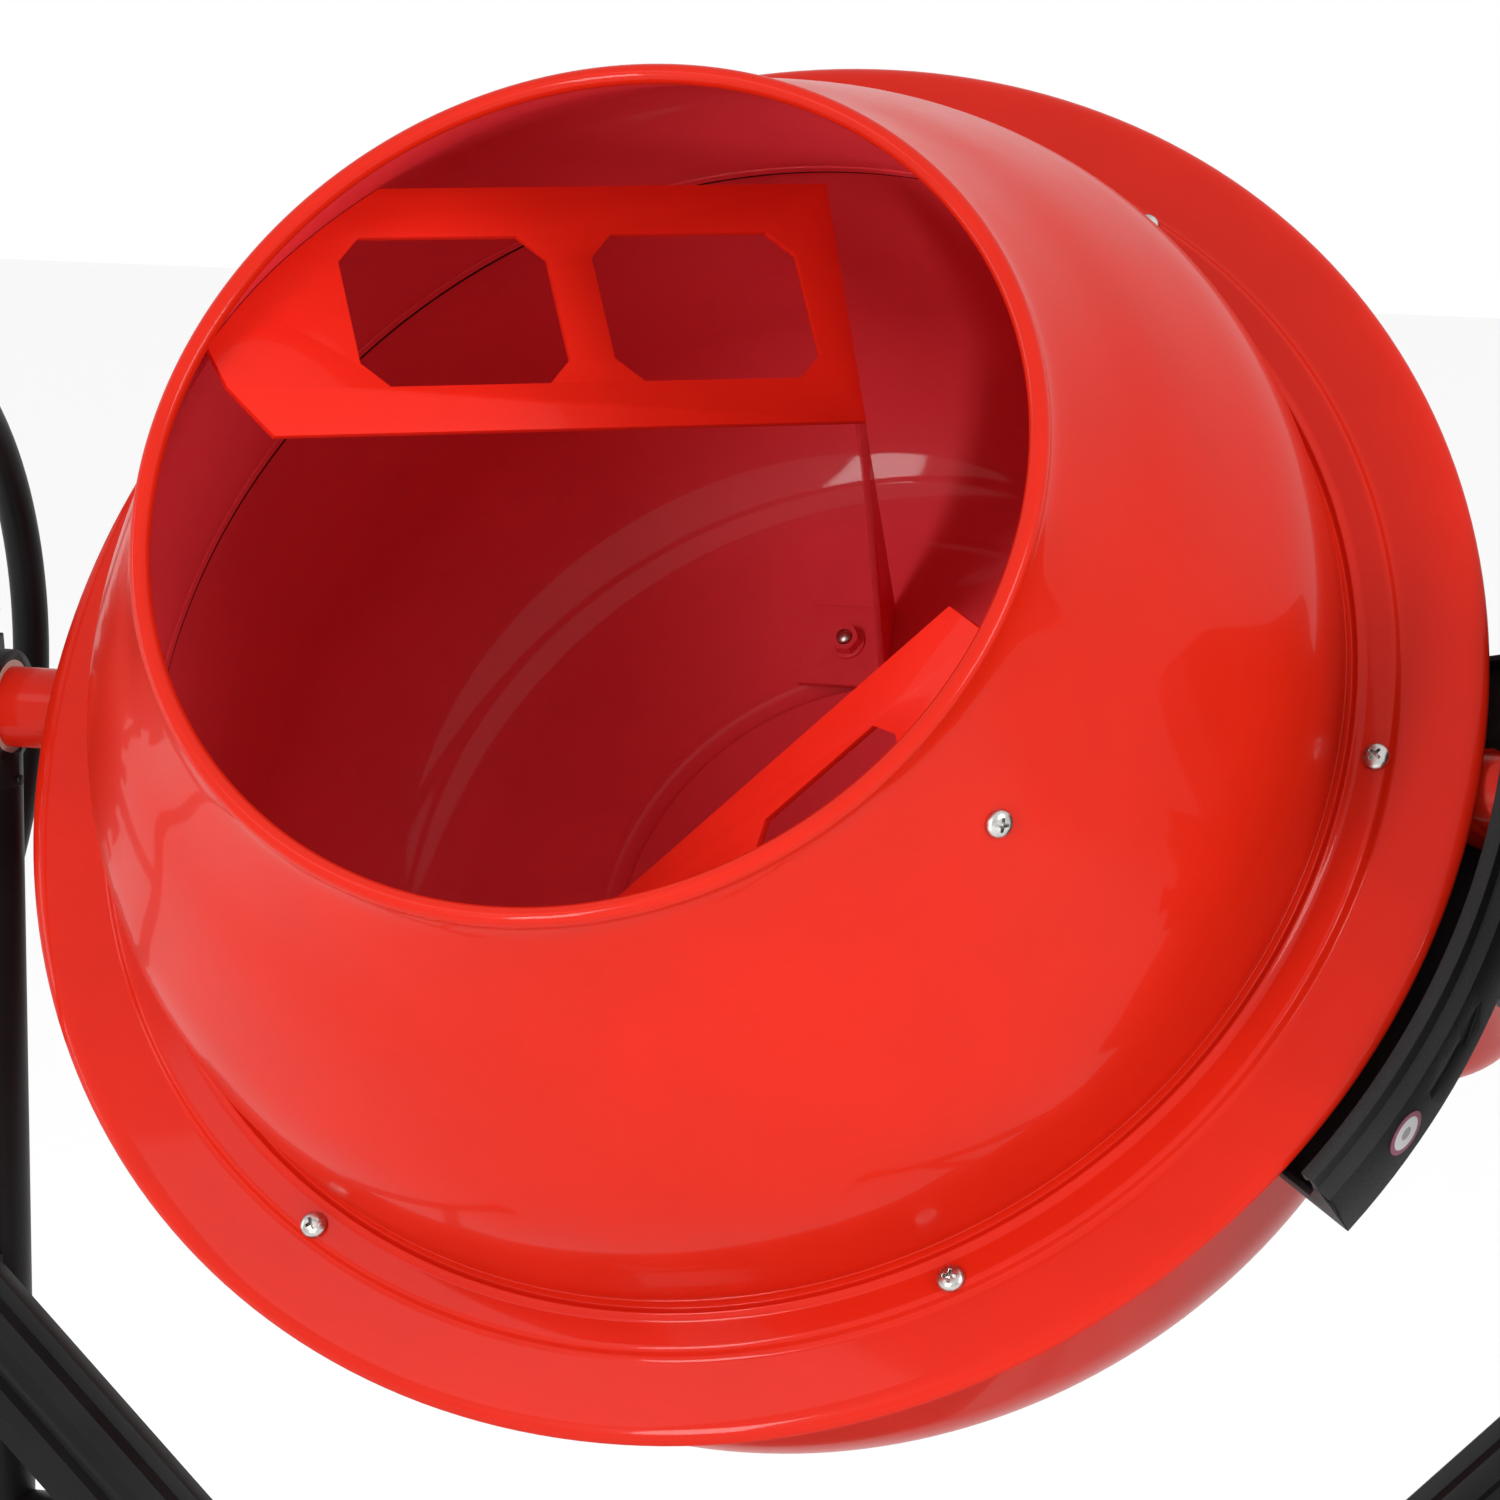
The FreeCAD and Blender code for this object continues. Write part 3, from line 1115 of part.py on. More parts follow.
def main():
    os.makedirs("parts", exist_ok=True)
    save("drum_upper_cone", tip(cone_shell(), PIVOT_DROP))
    save("drum_lower_bowl", tip(bowl_shell(), PIVOT_DROP))
    make_gear()
    make_paddles()
    make_hub(make_drum_fasteners())
    make_yoke()
    make_spindle()
    make_guard()
    make_guard_bracket()
    make_pinion()
    make_pulleys()
    make_motor()
    make_stand()
    make_wheels()
    make_tilt_lock()
    make_handwheel()
    make_housing()
    make_switch()


main()
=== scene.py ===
import json
import math
import bmesh
import bpy
import numpy as np
from mathutils import Matrix, Vector

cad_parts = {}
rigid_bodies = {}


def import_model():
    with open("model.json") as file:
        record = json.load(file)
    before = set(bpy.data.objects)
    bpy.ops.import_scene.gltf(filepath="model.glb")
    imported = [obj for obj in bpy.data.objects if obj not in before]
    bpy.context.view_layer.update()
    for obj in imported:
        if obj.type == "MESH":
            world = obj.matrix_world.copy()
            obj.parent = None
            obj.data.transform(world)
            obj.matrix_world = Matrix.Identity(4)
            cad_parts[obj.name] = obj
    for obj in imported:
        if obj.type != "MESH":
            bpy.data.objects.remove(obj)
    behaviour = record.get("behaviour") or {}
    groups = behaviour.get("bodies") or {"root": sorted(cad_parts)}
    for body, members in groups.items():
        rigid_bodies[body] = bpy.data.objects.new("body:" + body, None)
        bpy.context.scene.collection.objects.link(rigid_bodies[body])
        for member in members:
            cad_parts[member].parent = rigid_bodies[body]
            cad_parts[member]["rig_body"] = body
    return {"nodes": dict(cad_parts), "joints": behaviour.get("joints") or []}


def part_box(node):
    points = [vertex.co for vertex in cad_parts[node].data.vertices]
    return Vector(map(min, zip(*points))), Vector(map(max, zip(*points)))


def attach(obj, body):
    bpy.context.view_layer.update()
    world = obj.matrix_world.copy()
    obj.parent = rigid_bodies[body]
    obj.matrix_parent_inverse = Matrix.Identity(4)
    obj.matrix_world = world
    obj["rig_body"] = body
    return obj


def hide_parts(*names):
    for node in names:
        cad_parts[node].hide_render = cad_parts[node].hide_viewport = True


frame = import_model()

scene = bpy.context.scene
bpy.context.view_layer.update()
nodes = frame["nodes"]
joint = {j["name"]: j for j in frame["joints"]}

# ---------------------------------------------------------------------------
# The drum's own axis, which every drum piece is laid out on: it passes
# through the tilt axis and leans back, and the flange of the upper cone is
# the plane that heights are counted from.
tilt_pivot = Vector(joint["drum_spin"]["pos_m"])
drum_axis = Vector(joint["drum_spin"]["axis"]).normalized()
across = Vector((1.0, 0.0, 0.0))
up_slope = drum_axis.cross(across)
flange_lift = 0.02803


def on_drum(radius, angle, height):
    """A point on the drum, from its axis, round it in degrees and above the flange."""
    a = math.radians(angle)
    return (tilt_pivot + drum_axis * (height + flange_lift)
            + (across * math.cos(a) + up_slope * math.sin(a)) * radius)


def lean(vector):
    """A direction in the drum's own axes, turned into the machine's."""
    return across * vector[0] + up_slope * vector[1] + drum_axis * vector[2]


# ---------------------------------------------------------------------------
# Ground, light and viewpoint. The machine stands on a pale studio floor
# under soft boxes, and is seen close up, slightly from above and from the
# motor side.
def pale_floor():
    mesh = bpy.data.meshes.new("studio floor")
    size = 9.0
    mesh.from_pydata([(-size, -size, 0), (size, -size, 0), (size, size, 0), (-size, size, 0)],
                     [], [(0, 1, 2, 3)])
    floor = bpy.data.objects.new("studio floor", mesh)
    scene.collection.objects.link(floor)
    surface = bpy.data.materials.new("studio floor")
    surface.use_nodes = True
    face = surface.node_tree.nodes["Principled BSDF"]
    face.inputs["Base Color"].default_value = (0.93, 0.93, 0.93, 1)
    face.inputs["Roughness"].default_value = 0.9
    mesh.materials.append(surface)


def soft_box(name, place, target, width, height, watts):
    data = bpy.data.lights.new(name, "AREA")
    data.shape = "RECTANGLE"
    data.size, data.size_y, data.energy = width, height, watts
    box = bpy.data.objects.new(name, data)
    scene.collection.objects.link(box)
    box.location = place
    box.rotation_euler = (Vector(target) - Vector(place)).to_track_quat("-Z", "Y").to_euler()


pale_floor()
drum_middle = on_drum(0, 0, 0.08)
soft_box("key box", (-1.7, -3.0, 3.2), drum_middle, 1.3, 1.3, 11)
soft_box("right box", (3.2, -1.4, 2.0), drum_middle, 0.8, 1.8, 50)
soft_box("left strip", (-2.8, -0.7, 1.5), drum_middle, 0.35, 1.9, 9)
soft_box("mouth box", (-0.5, -2.5, 1.15), drum_middle, 0.40, 0.90, 22)

world = bpy.data.worlds.new("studio")
scene.world = world
world.use_nodes = True
world.node_tree.nodes["Background"].inputs["Color"].default_value = (1, 1, 1, 1)
world.node_tree.nodes["Background"].inputs["Strength"].default_value = 1.0
scene.view_settings.view_transform = "Standard"

lens = bpy.data.cameras.new("view")
lens.sensor_width, lens.lens = 36.0, 180.33
lens.clip_end = 60.0
view = bpy.data.objects.new("view", lens)
scene.collection.objects.link(view)
turn, rise = math.radians(19.17), math.radians(10.05)
back = Vector((math.sin(turn) * math.cos(rise), -math.cos(turn) * math.cos(rise), math.sin(rise)))
side = Vector((math.cos(turn), math.sin(turn), 0.0))
top = back.cross(side)
stand_off = on_drum(0, 0, 0) + Vector((1.1040, -3.1626, 0.5826))
view.matrix_world = Matrix.Translation(stand_off) @ Matrix((side, top, back)).transposed().to_4x4()
scene.camera = view


# ---------------------------------------------------------------------------
# Paint on the drum and the yoke: red-orange powder coat, baked to a deep
# gloss. It has a faint orange peel, slow waves from the pressed sheet under
# it, and a thin spot or two where it has chipped.
class Signal:
    """One output of a shader node. Arithmetic on it adds Math nodes."""

    def __init__(self, sheet, socket):
        self.sheet, self.socket = sheet, socket

    def math(self, operation, *values):
        return self.sheet.node("ShaderNodeMath", {"operation": operation}, *values)

    def __add__(self, other):
        return self.math("ADD", self, other)

    def __radd__(self, other):
        return self.math("ADD", other, self)

    def __sub__(self, other):
        return self.math("SUBTRACT", self, other)

    def __rsub__(self, other):
        return self.math("SUBTRACT", other, self)

    def __mul__(self, other):
        return self.math("MULTIPLY", self, other)

    def __rmul__(self, other):
        return self.math("MULTIPLY", other, self)

    def between(self, low, high):
        """0 at low, 1 at high, and held there."""
        return self.sheet.node("ShaderNodeMapRange", {"clamp": True}, self, low, high, 0.0, 1.0)


class Finish:
    """A surface finish: one Principled shader and the nodes that vary it."""

    def __init__(self, name, **fixed):
        self.material = bpy.data.materials.new(name)
        self.material.use_nodes = True
        self.tree = self.material.node_tree
        self.shader = self.tree.nodes["Principled BSDF"]
        for key, value in fixed.items():
            self.shader.inputs[key.replace("_", " ")].default_value = value
        self.place = self.node("ShaderNodeTexCoord", {}, out="Object")

    def node(self, kind, settings, *values, out=0, **named):
        """Adds a node: its settings first, then a value or a link for each socket."""
        made = self.tree.nodes.new(kind)
        if values and isinstance(values[0], dict):
            given = list(values[0].items())
        else:
            given = list(enumerate(values))
        for key, value in settings.items():
            if key == "stops":
                ramp = made.color_ramp
                while len(ramp.elements) < len(value):
                    ramp.elements.new(0.5)
                for element, (where, colour) in zip(ramp.elements, value):
                    element.position, element.color = where, colour
            else:
                setattr(made, key, value)
        for key, value in given + list(named.items()):
            socket = made.inputs[key.replace("_", " ") if isinstance(key, str) else key]
            if isinstance(value, Signal):
                self.tree.links.new(value.socket, socket)
            else:
                socket.default_value = value
        return Signal(self, made.outputs[out])

    def noise(self, scale, detail=3.0, rough=0.5, stretch=None):
        place = self.place
        if stretch:
            place = self.node("ShaderNodeMapping", {}, place, Scale=stretch)
        return self.node("ShaderNodeTexNoise", {}, Vector=place, Scale=scale, Detail=detail,
                         Roughness=rough, out="Fac")

    def mix(self, amount, first, second):
        return self.node("ShaderNodeMix", {"data_type": "RGBA"}, {0: amount, 6: first, 7: second},
                         out=2)

    def bump(self, height, distance, strength=1.0, onto=None):
        made = self.node("ShaderNodeBump", {}, Height=height, Distance=distance,
                         Strength=strength, out="Normal")
        if onto:
            self.tree.links.new(onto.socket, made.socket.node.inputs["Normal"])
        return made

    def feed(self, **signals):
        for key, signal in signals.items():
            self.tree.links.new(signal.socket, self.shader.inputs[key.replace("_", " ")])
        return self.material


def red_paint(name, colour, rough, gloss):
    paint = Finish(name, IOR=1.5, Specular_IOR_Level=0.06, Coat_Roughness=0.05)
    slow = paint.noise(4.0, 2.0)
    cloud = paint.noise(26.0, 4.0)
    peel = paint.noise(330.0, 2.0)
    sheet_wave = paint.noise(5.5, 1.0)
    dark = tuple(c * 0.86 for c in colour[:3]) + (1,)
    shade = paint.mix((slow * 0.6 + cloud * 0.4).between(0.30, 0.75), dark, colour)
    chip = paint.noise(95.0, 5.0, 0.65).between(0.765, 0.785)
    shade = paint.mix(chip * 0.8, shade, (0.05, 0.012, 0.01, 1))
    dull = cloud.between(0.35, 0.8) * 0.08 + rough + chip * 0.4
    wave = paint.bump(sheet_wave, 0.02, 0.06)
    skin = paint.bump(peel, 0.0004, 0.10, wave)
    return paint.feed(Base_Color=shade, Roughness=dull, Normal=skin,
                      Coat_Weight=gloss - chip * gloss)


drum_paint = red_paint("red powder coat", (0.58, 0.014, 0.004, 1), 0.30, 0.20)
# The inside copy is the same red paint made lighter and pinker: painted light, standing in for the
# bounce light and reflections inside the drum.
inside_light_paint = red_paint("red paint with painted inside light", (0.84, 0.055, 0.072, 1), 0.42, 0.21)
paddle_paint = red_paint("red paddle paint", (0.76, 0.018, 0.008, 1), 0.34, 0.16)


# ---------------------------------------------------------------------------
# Upper cone of the drum: one piece of 1.6 mm steel spun to a dome with a
# rolled bead round the mouth, a screw ring at the seam and a wide flange
# that covers the gear. It sits over the bowl and is screwed to it.
def curve_through(points, steps):
    """Points along a smooth curve that passes through all the given ones."""
    pts = np.array(points, float)
    t = np.concatenate([[0], np.cumsum(np.linalg.norm(np.diff(pts, axis=0), axis=1))])
    n = len(pts)
    h = np.diff(t)
    system = np.eye(n)
    right = np.zeros((n, 2))
    for i in range(1, n - 1):
        system[i, i - 1:i + 2] = h[i - 1], 2 * (h[i - 1] + h[i]), h[i]
        right[i] = 6 * ((pts[i + 1] - pts[i]) / h[i] - (pts[i] - pts[i - 1]) / h[i - 1])
    bend = np.linalg.solve(system, right)
    out = []
    for x in np.linspace(0, t[-1], steps):
        i = min(max(int(np.searchsorted(t, x, side="right")) - 1, 0), n - 2)
        a, b = (t[i + 1] - x) / h[i], (x - t[i]) / h[i]
        out.append(a * pts[i] + b * pts[i + 1]
                   + ((a ** 3 - a) * bend[i] + (b ** 3 - b) * bend[i + 1]) * h[i] ** 2 / 6)
    return [tuple(p) for p in out]


def softened(points, radius, steps=4):
    """A closed outline with each corner rounded."""
    out = []
    n = len(points)
    for i in range(n):
        a, b, c = (np.array(points[(i + k) % n], float) for k in (-1, 0, 1))
        u, v = a - b, c - b
        lu, lv = np.linalg.norm(u), np.linalg.norm(v)
        if lu < 1e-9 or lv < 1e-9:
            continue
        cut = min(radius, 0.45 * lu, 0.45 * lv)
        p, q = b + u / lu * cut, b + v / lv * cut
        for k in range(steps + 1):
            w = k / steps
            out.append(tuple((1 - w) ** 2 * p + 2 * w * (1 - w) * b + w * w * q))
    return out


def arc(cx, cz, radius, first, last, steps):
    """Points round a circle from one angle to another, in degrees."""
    return [(cx + radius * math.cos(math.radians(first + (last - first) * k / steps)),
             cz + radius * math.sin(math.radians(first + (last - first) * k / steps)))
            for k in range(steps + 1)]


def add_object(name, mesh, finish, body):
    piece = bpy.data.objects.new(name, mesh)
    scene.collection.objects.link(piece)
    if not mesh.materials:
        mesh.materials.append(finish)
    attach(piece, body)
    return piece


def spun(name, outline, rounds, finish, body, origin, axis, start, replaced, lining=None):
    """A solid of revolution from a closed (radius, height) outline in millimetres.

    lining is (finish, first, last): the stretch of the outline painted differently."""
    side_way = Vector(start)
    third = Vector(axis).cross(side_way)
    verts, faces = [], []
    n = len(outline)
    rings = []
    for k in range(rounds):
        a = 2 * math.pi * k / rounds
        out = side_way * math.cos(a) + third * math.sin(a)
        rings.append(range(len(verts), len(verts) + n))
        verts += [origin + out * (r * 0.001) + axis * (z * 0.001) for r, z in outline]
    for k in range(rounds):
        one, two = rings[k], rings[(k + 1) % rounds]
        for i in range(n):
            j = (i + 1) % n
            faces.append((one[i], one[j], two[j], two[i]))
    mesh = bpy.data.meshes.new(name)
    mesh.from_pydata([tuple(v) for v in verts], [], faces)
    mesh.materials.append(finish)
    if lining:
        mesh.materials.append(lining[0])
        for face in mesh.polygons:
            face.material_index = int(lining[1] <= face.index % n < lining[2])
    tidy(mesh, 40)
    piece = add_object(name, mesh, finish, body)
    if replaced:
        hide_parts(*replaced)
    return piece


def tidy(mesh, crease):
    """Merges doubles, points the faces outwards and shades smooth between creases."""
    work = bmesh.new()
    work.from_mesh(mesh)
    bmesh.ops.remove_doubles(work, verts=work.verts, dist=1e-6)
    bmesh.ops.dissolve_degenerate(work, edges=work.edges, dist=1e-7)
    bmesh.ops.recalc_face_normals(work, faces=work.faces)
    for face in work.faces:
        face.smooth = True
    limit = math.radians(crease)
    for edge in work.edges:
        edge.smooth = not (len(edge.link_faces) == 2 and edge.calc_face_angle() > limit)
    work.to_mesh(mesh)
    work.free()


flange_centre = on_drum(0, 0, 0)
sheet = 1.6
dome = curve_through([(203.15, 243.5), (203.6, 238), (206.5, 229), (214.5, 212), (226.5, 190),
                      (240.5, 168), (254, 145), (266.5, 122), (276, 103), (282, 85), (284.5, 66),
                      (284.2, 45), (282.8, 25), (282, 13)], 70)
dome_inner = []
for i, (r, z) in enumerate(dome):
    r0, z0 = dome[max(i - 1, 0)]
    r1, z1 = dome[min(i + 1, len(dome) - 1)]
    size = math.hypot(r1 - r0, z1 - z0)
    dome_inner.append((r + sheet * (z1 - z0) / size, z - sheet * (r1 - r0) / size))
bead = arc(199.5, 244.7, 4.5, 255, -30, 19)
step_out = [(282, 12.4), (282.1, 9.6), (283.2, 7.7), (284.6, 8.2), (286.2, 9.4), (288.0, 7.9),
            (289.5, 7.0), (301.0, 7.0), (302.6, 6.2), (304.2, 2.6), (306, 1.6), (334, 0.4),
            (337.5, -0.2), (340.4, -1.7), (342.1, -3.7), (342.5, -5.5)]
step_in = [(340.9, -5.5), (340.5, -4.0), (339.2, -2.6), (337.0, -1.6), (334, -1.2), (305.4, 0.0),
           (303.0, 0.8), (301.6, 5.0), (301, 5.4), (289, 5.4), (286, 7.6), (284.5, 6.4),
           (282.6, 5.9), (280.6, 7.6), (280.4, 12.4)]
middle = softened(step_out + step_in, sheet)
seam_points = 18
cone_outline = bead + [p for p in dome if p[1] < 240.5][:-1] + middle
first_inside = len(cone_outline) - seam_points
cone_outline += [p for p in dome_inner[::-1] if p[1] < 240.0][1:]
# From the seam step inwards the cone takes the lighter, pinker inside copy of the paint: painted
# bounce light and reflection.
spun("drum_cone", cone_outline, 224, drum_paint, "drum", flange_centre, drum_axis, across,
     ["drum_upper_cone"], (inside_light_paint, first_inside, len(cone_outline) - 2))


# ---------------------------------------------------------------------------
# Lower bowl: deep-drawn 1.6 mm sheet with a round corner, a flat bottom with
# a pressed ring, and a narrow turned-out rim that the cone and the gear
# clamp between them. Same paint, inside and out; the inside takes the
# lighter, pinker inside copy of it, which is painted bounce light and reflection.
bowl_radius, corner_radius, bowl_floor = 291, 90, -236
inside_radius, inside_floor = bowl_radius - sheet, bowl_floor + sheet
corner_spot = (bowl_radius - corner_radius, bowl_floor + corner_radius)
bowl_outer = arc(*corner_spot, corner_radius, 0, -90, 26)
bowl_inner = arc(*corner_spot, corner_radius - sheet, -90, 0, 26)
ring_out = [(143.6, bowl_floor), (141.4, -238), (139.5, -239), (132.5, -239), (130.6, -238),
            (128.4, bowl_floor)]
ring_in = [(129, inside_floor), (131, -236.4), (133, -237.4), (139, -237.4), (141, -236.4),
           (143, inside_floor)]
bowl_rim = [(inside_radius, 5.4), (300.8, 5.4), (300.8, 3.8), (292.0, 3.8), (bowl_radius, 2.8)]
outer_side = [(bowl_radius, -40), (bowl_radius, -95)] + bowl_outer + ring_out
middle_floor = [(60, bowl_floor), (0.01, bowl_floor), (0.01, inside_floor), (60, inside_floor)]
inner_side = ring_in + bowl_inner + [(inside_radius, -95), (inside_radius, -40)]
bowl_outline = bowl_rim + outer_side + middle_floor + inner_side
first_inside = bowl_outline.index((0.01, inside_floor))
spun("drum_bowl", bowl_outline, 224, drum_paint, "drum", flange_centre, drum_axis, across,
     ["drum_lower_bowl"], (inside_light_paint, first_inside, len(bowl_outline)))


# ---------------------------------------------------------------------------
# Seam gap shade: a thin black ring along the inside of the joint between the
# cone and the bowl, a dark piece that stands in for the shade in the gap (painted shade).
gap_shade_outline = arc(283.7, 4.5, 1.5, 0, 336, 14)
gap_shade_finish = Finish("black painted gap shade", IOR=1.45, Specular_IOR_Level=0.2)
gap_shade_mottle = gap_shade_finish.noise(140.0, 3.0)
gap_shade_finish.feed(
    Base_Color=gap_shade_finish.mix(gap_shade_mottle, (0.004, 0.004, 0.004, 1), (0.012, 0.011, 0.011, 1)),
    Roughness=gap_shade_mottle * 0.3 + 0.35, Normal=gap_shade_finish.bump(gap_shade_mottle, 0.0004, 0.5))
spun("seam_seal", gap_shade_outline, 200, gap_shade_finish.material, "drum", flange_centre, drum_axis,
     across, [])


# ---------------------------------------------------------------------------
# Mixing paddles: 3 mm plate, cut with two eight-sided windows and folded
# down into an arm with a foot. Their lower ends take the inside copy of the
# drum paint instead, a stand-in for the light and shade down by the bowl
# (painted light and shade); the cut edges are only just broken.
def eased(node, name, finish, width, crease=30, segments=2):
    """A copy of a plain CAD piece with its edges rounded over, which then stands for it."""
    mesh = nodes[node].data.copy()
    mesh.materials.clear()
    work = bmesh.new()
    work.from_mesh(mesh)
    bmesh.ops.remove_doubles(work, verts=work.verts, dist=2e-5)
    bmesh.ops.dissolve_limit(work, angle_limit=math.radians(1.0), verts=work.verts,
                             edges=work.edges)
    work.to_mesh(mesh)
    work.free()
    piece = add_object(name, mesh, finish, nodes[node]["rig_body"])
    edge = piece.modifiers.new("edge", "BEVEL")
    edge.width, edge.segments, edge.limit_method = width, segments, "ANGLE"
    edge.angle_limit = math.radians(crease)
    edge.use_clamp_overlap = True
    edge.harden_normals = False
    bpy.context.view_layer.update()
    solid = bpy.data.meshes.new_from_object(
        piece.evaluated_get(bpy.context.evaluated_depsgraph_get()))
    piece.modifiers.clear()
    piece.data = solid
    solid.materials.clear()
    solid.materials.append(finish)
    tidy(solid, 42)
    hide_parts(node)
    return piece


# Faces lower than this above the flange take the inside copy of the paint: painted light and shade.
lower_end = 0.038
for which in ("upper", "lower"):
    paddle = eased("paddle_" + which, "mixing_paddle_" + which, paddle_paint, 0.0006)
    paddle.data.materials.append(inside_light_paint)
    for face in paddle.data.polygons:
        height = (face.center - flange_centre).dot(drum_axis)
        face.material_index = int(height < lower_end)


# ---------------------------------------------------------------------------
# Screws and nuts: zinc-plated steel. Cross-recessed pan heads hold the seam
# and the paddles; their nuts are behind the sheet; hexagon bolts hold the hub
# and the paddle feet, whose nuts are painted over. Each kind is one pressed
# shape, set round the drum.
def plated_steel():
    zinc = Finish("bright zinc plate", Metallic=1.0)
    grain = zinc.noise(900.0, 3.0)
    cloud = zinc.noise(160.0, 3.0)
    shade = zinc.mix(cloud.between(0.3, 0.7), (0.40, 0.39, 0.37, 1), (0.66, 0.66, 0.64, 1))
    return zinc.feed(Base_Color=shade, Roughness=cloud * 0.22 + 0.16,
                     Normal=zinc.bump(grain, 0.0002, 0.2))


def ring_of(work, radius, height, count):
    """A level ring of points."""
    return [work.verts.new((radius * math.cos(2 * math.pi * k / count),
                            radius * math.sin(2 * math.pi * k / count), height))
            for k in range(count)]


def skin(work, one, two):
    """The band of faces between two rings that have as many points."""
    count = len(one)
    for k in range(count):
        work.faces.new((one[k], one[(k + 1) % count], two[(k + 1) % count], two[k]))


def pressed_head(radius, height, recess):
    """A domed head with a cross recess, or a hexagon head when there is no recess."""
    work = bmesh.new()
    rounds = 32 if recess else 6
    if recess:
        rim = [(1.0, 0.0), (1.0, 0.28), (0.97, 0.46), (0.88, 0.70), (0.72, 0.88), (0.5, 0.97)]
    else:
        rim = [(0.93, 0.0), (1.0, 0.08), (1.0, 0.86), (0.9, 1.0), (0.5, 1.0)]
    rings = [ring_of(work, radius * r, height * z, rounds) for r, z in rim]
    for low, high in zip(rings[:-1], rings[1:]):
        skin(work, low, high)
    work.faces.new(rings[0][::-1])
    if recess:
        arm, half, depth = 0.52 * radius, 0.12 * radius, 0.70 * height
        nook, taper = half * 1.3, 0.72
        cross = [(arm, -half), (arm, half), (nook, nook), (half, arm), (-half, arm),
                 (-nook, nook), (-arm, half), (-arm, -half), (-nook, -nook),
                 (-half, -arm), (half, -arm), (nook, -nook)]
        lip = [work.verts.new((x, y, height)) for x, y in cross]
        pit = [work.verts.new((x * taper, y * taper, height - depth)) for x, y in cross]
        skin(work, lip, pit)
        work.faces.new(pit)
        edges = [e for e in work.edges if e.is_boundary]
        bmesh.ops.bridge_loops(work, edges=edges)
    else:
        work.faces.new(rings[-1])
    bmesh.ops.recalc_face_normals(work, faces=work.faces)
    return work


def fastener(name, radius, height, recess, shank, length):
    """Head, washer face and threaded shank of one fastener; the seat is at zero."""
    work = pressed_head(radius, height, recess)
    step, root = 0.0009, 0.90
    shaft = [(shank, 0.0)]
    for k in range(int(length / step)):
        shaft.append((shank * (root if k % 2 else 1.0), -step * (k + 1)))
    rings = [ring_of(work, r, z, 12) for r, z in shaft]
    for low, high in zip(rings[:-1], rings[1:]):
        skin(work, high, low)
    work.faces.new(rings[-1][::-1])
    work.faces.new(rings[0])
    for face in work.faces:
        face.smooth = True
    for edge in work.edges:
        if len(edge.link_faces) == 2 and edge.calc_face_angle() > math.radians(38):
            edge.smooth = False
    mesh = bpy.data.meshes.new(name)
    work.to_mesh(mesh)
    work.free()
    return bpy.data.objects.new(name, mesh)


def nut_shape(name, flats, height, bore, skirt):
    """A hexagon nut with a washer flange, chamfered on top."""
    work = bmesh.new()
    corner, sides = flats / math.sqrt(3.0), 24
    rings = [ring_of(work, skirt, z, sides) for z in (0.0, 0.2 * height)]
    for r, z in ((1.0, 0.25 * height), (1.0, 0.86 * height), (0.9, height)):
        ring = []
        for k in range(sides):
            a = 2 * math.pi * k / sides
            hexa = math.cos(math.pi / 6) / math.cos((a % (math.pi / 3)) - math.pi / 6)
            reach = corner * (hexa if r == 1.0 else min(hexa, 0.93))
            ring.append(work.verts.new((reach * math.cos(a), reach * math.sin(a), z)))
        rings.append(ring)
    rings += [ring_of(work, bore, z, sides) for z in (height, 0.0)]
    rings.append(rings[0])
    for low, high in zip(rings[:-1], rings[1:]):
        skin(work, low, high)
    bmesh.ops.recalc_face_normals(work, faces=work.faces)
    mesh = bpy.data.meshes.new(name)
    work.to_mesh(mesh)
    work.free()
    tidy(mesh, 30)
    return bpy.data.objects.new(name, mesh)


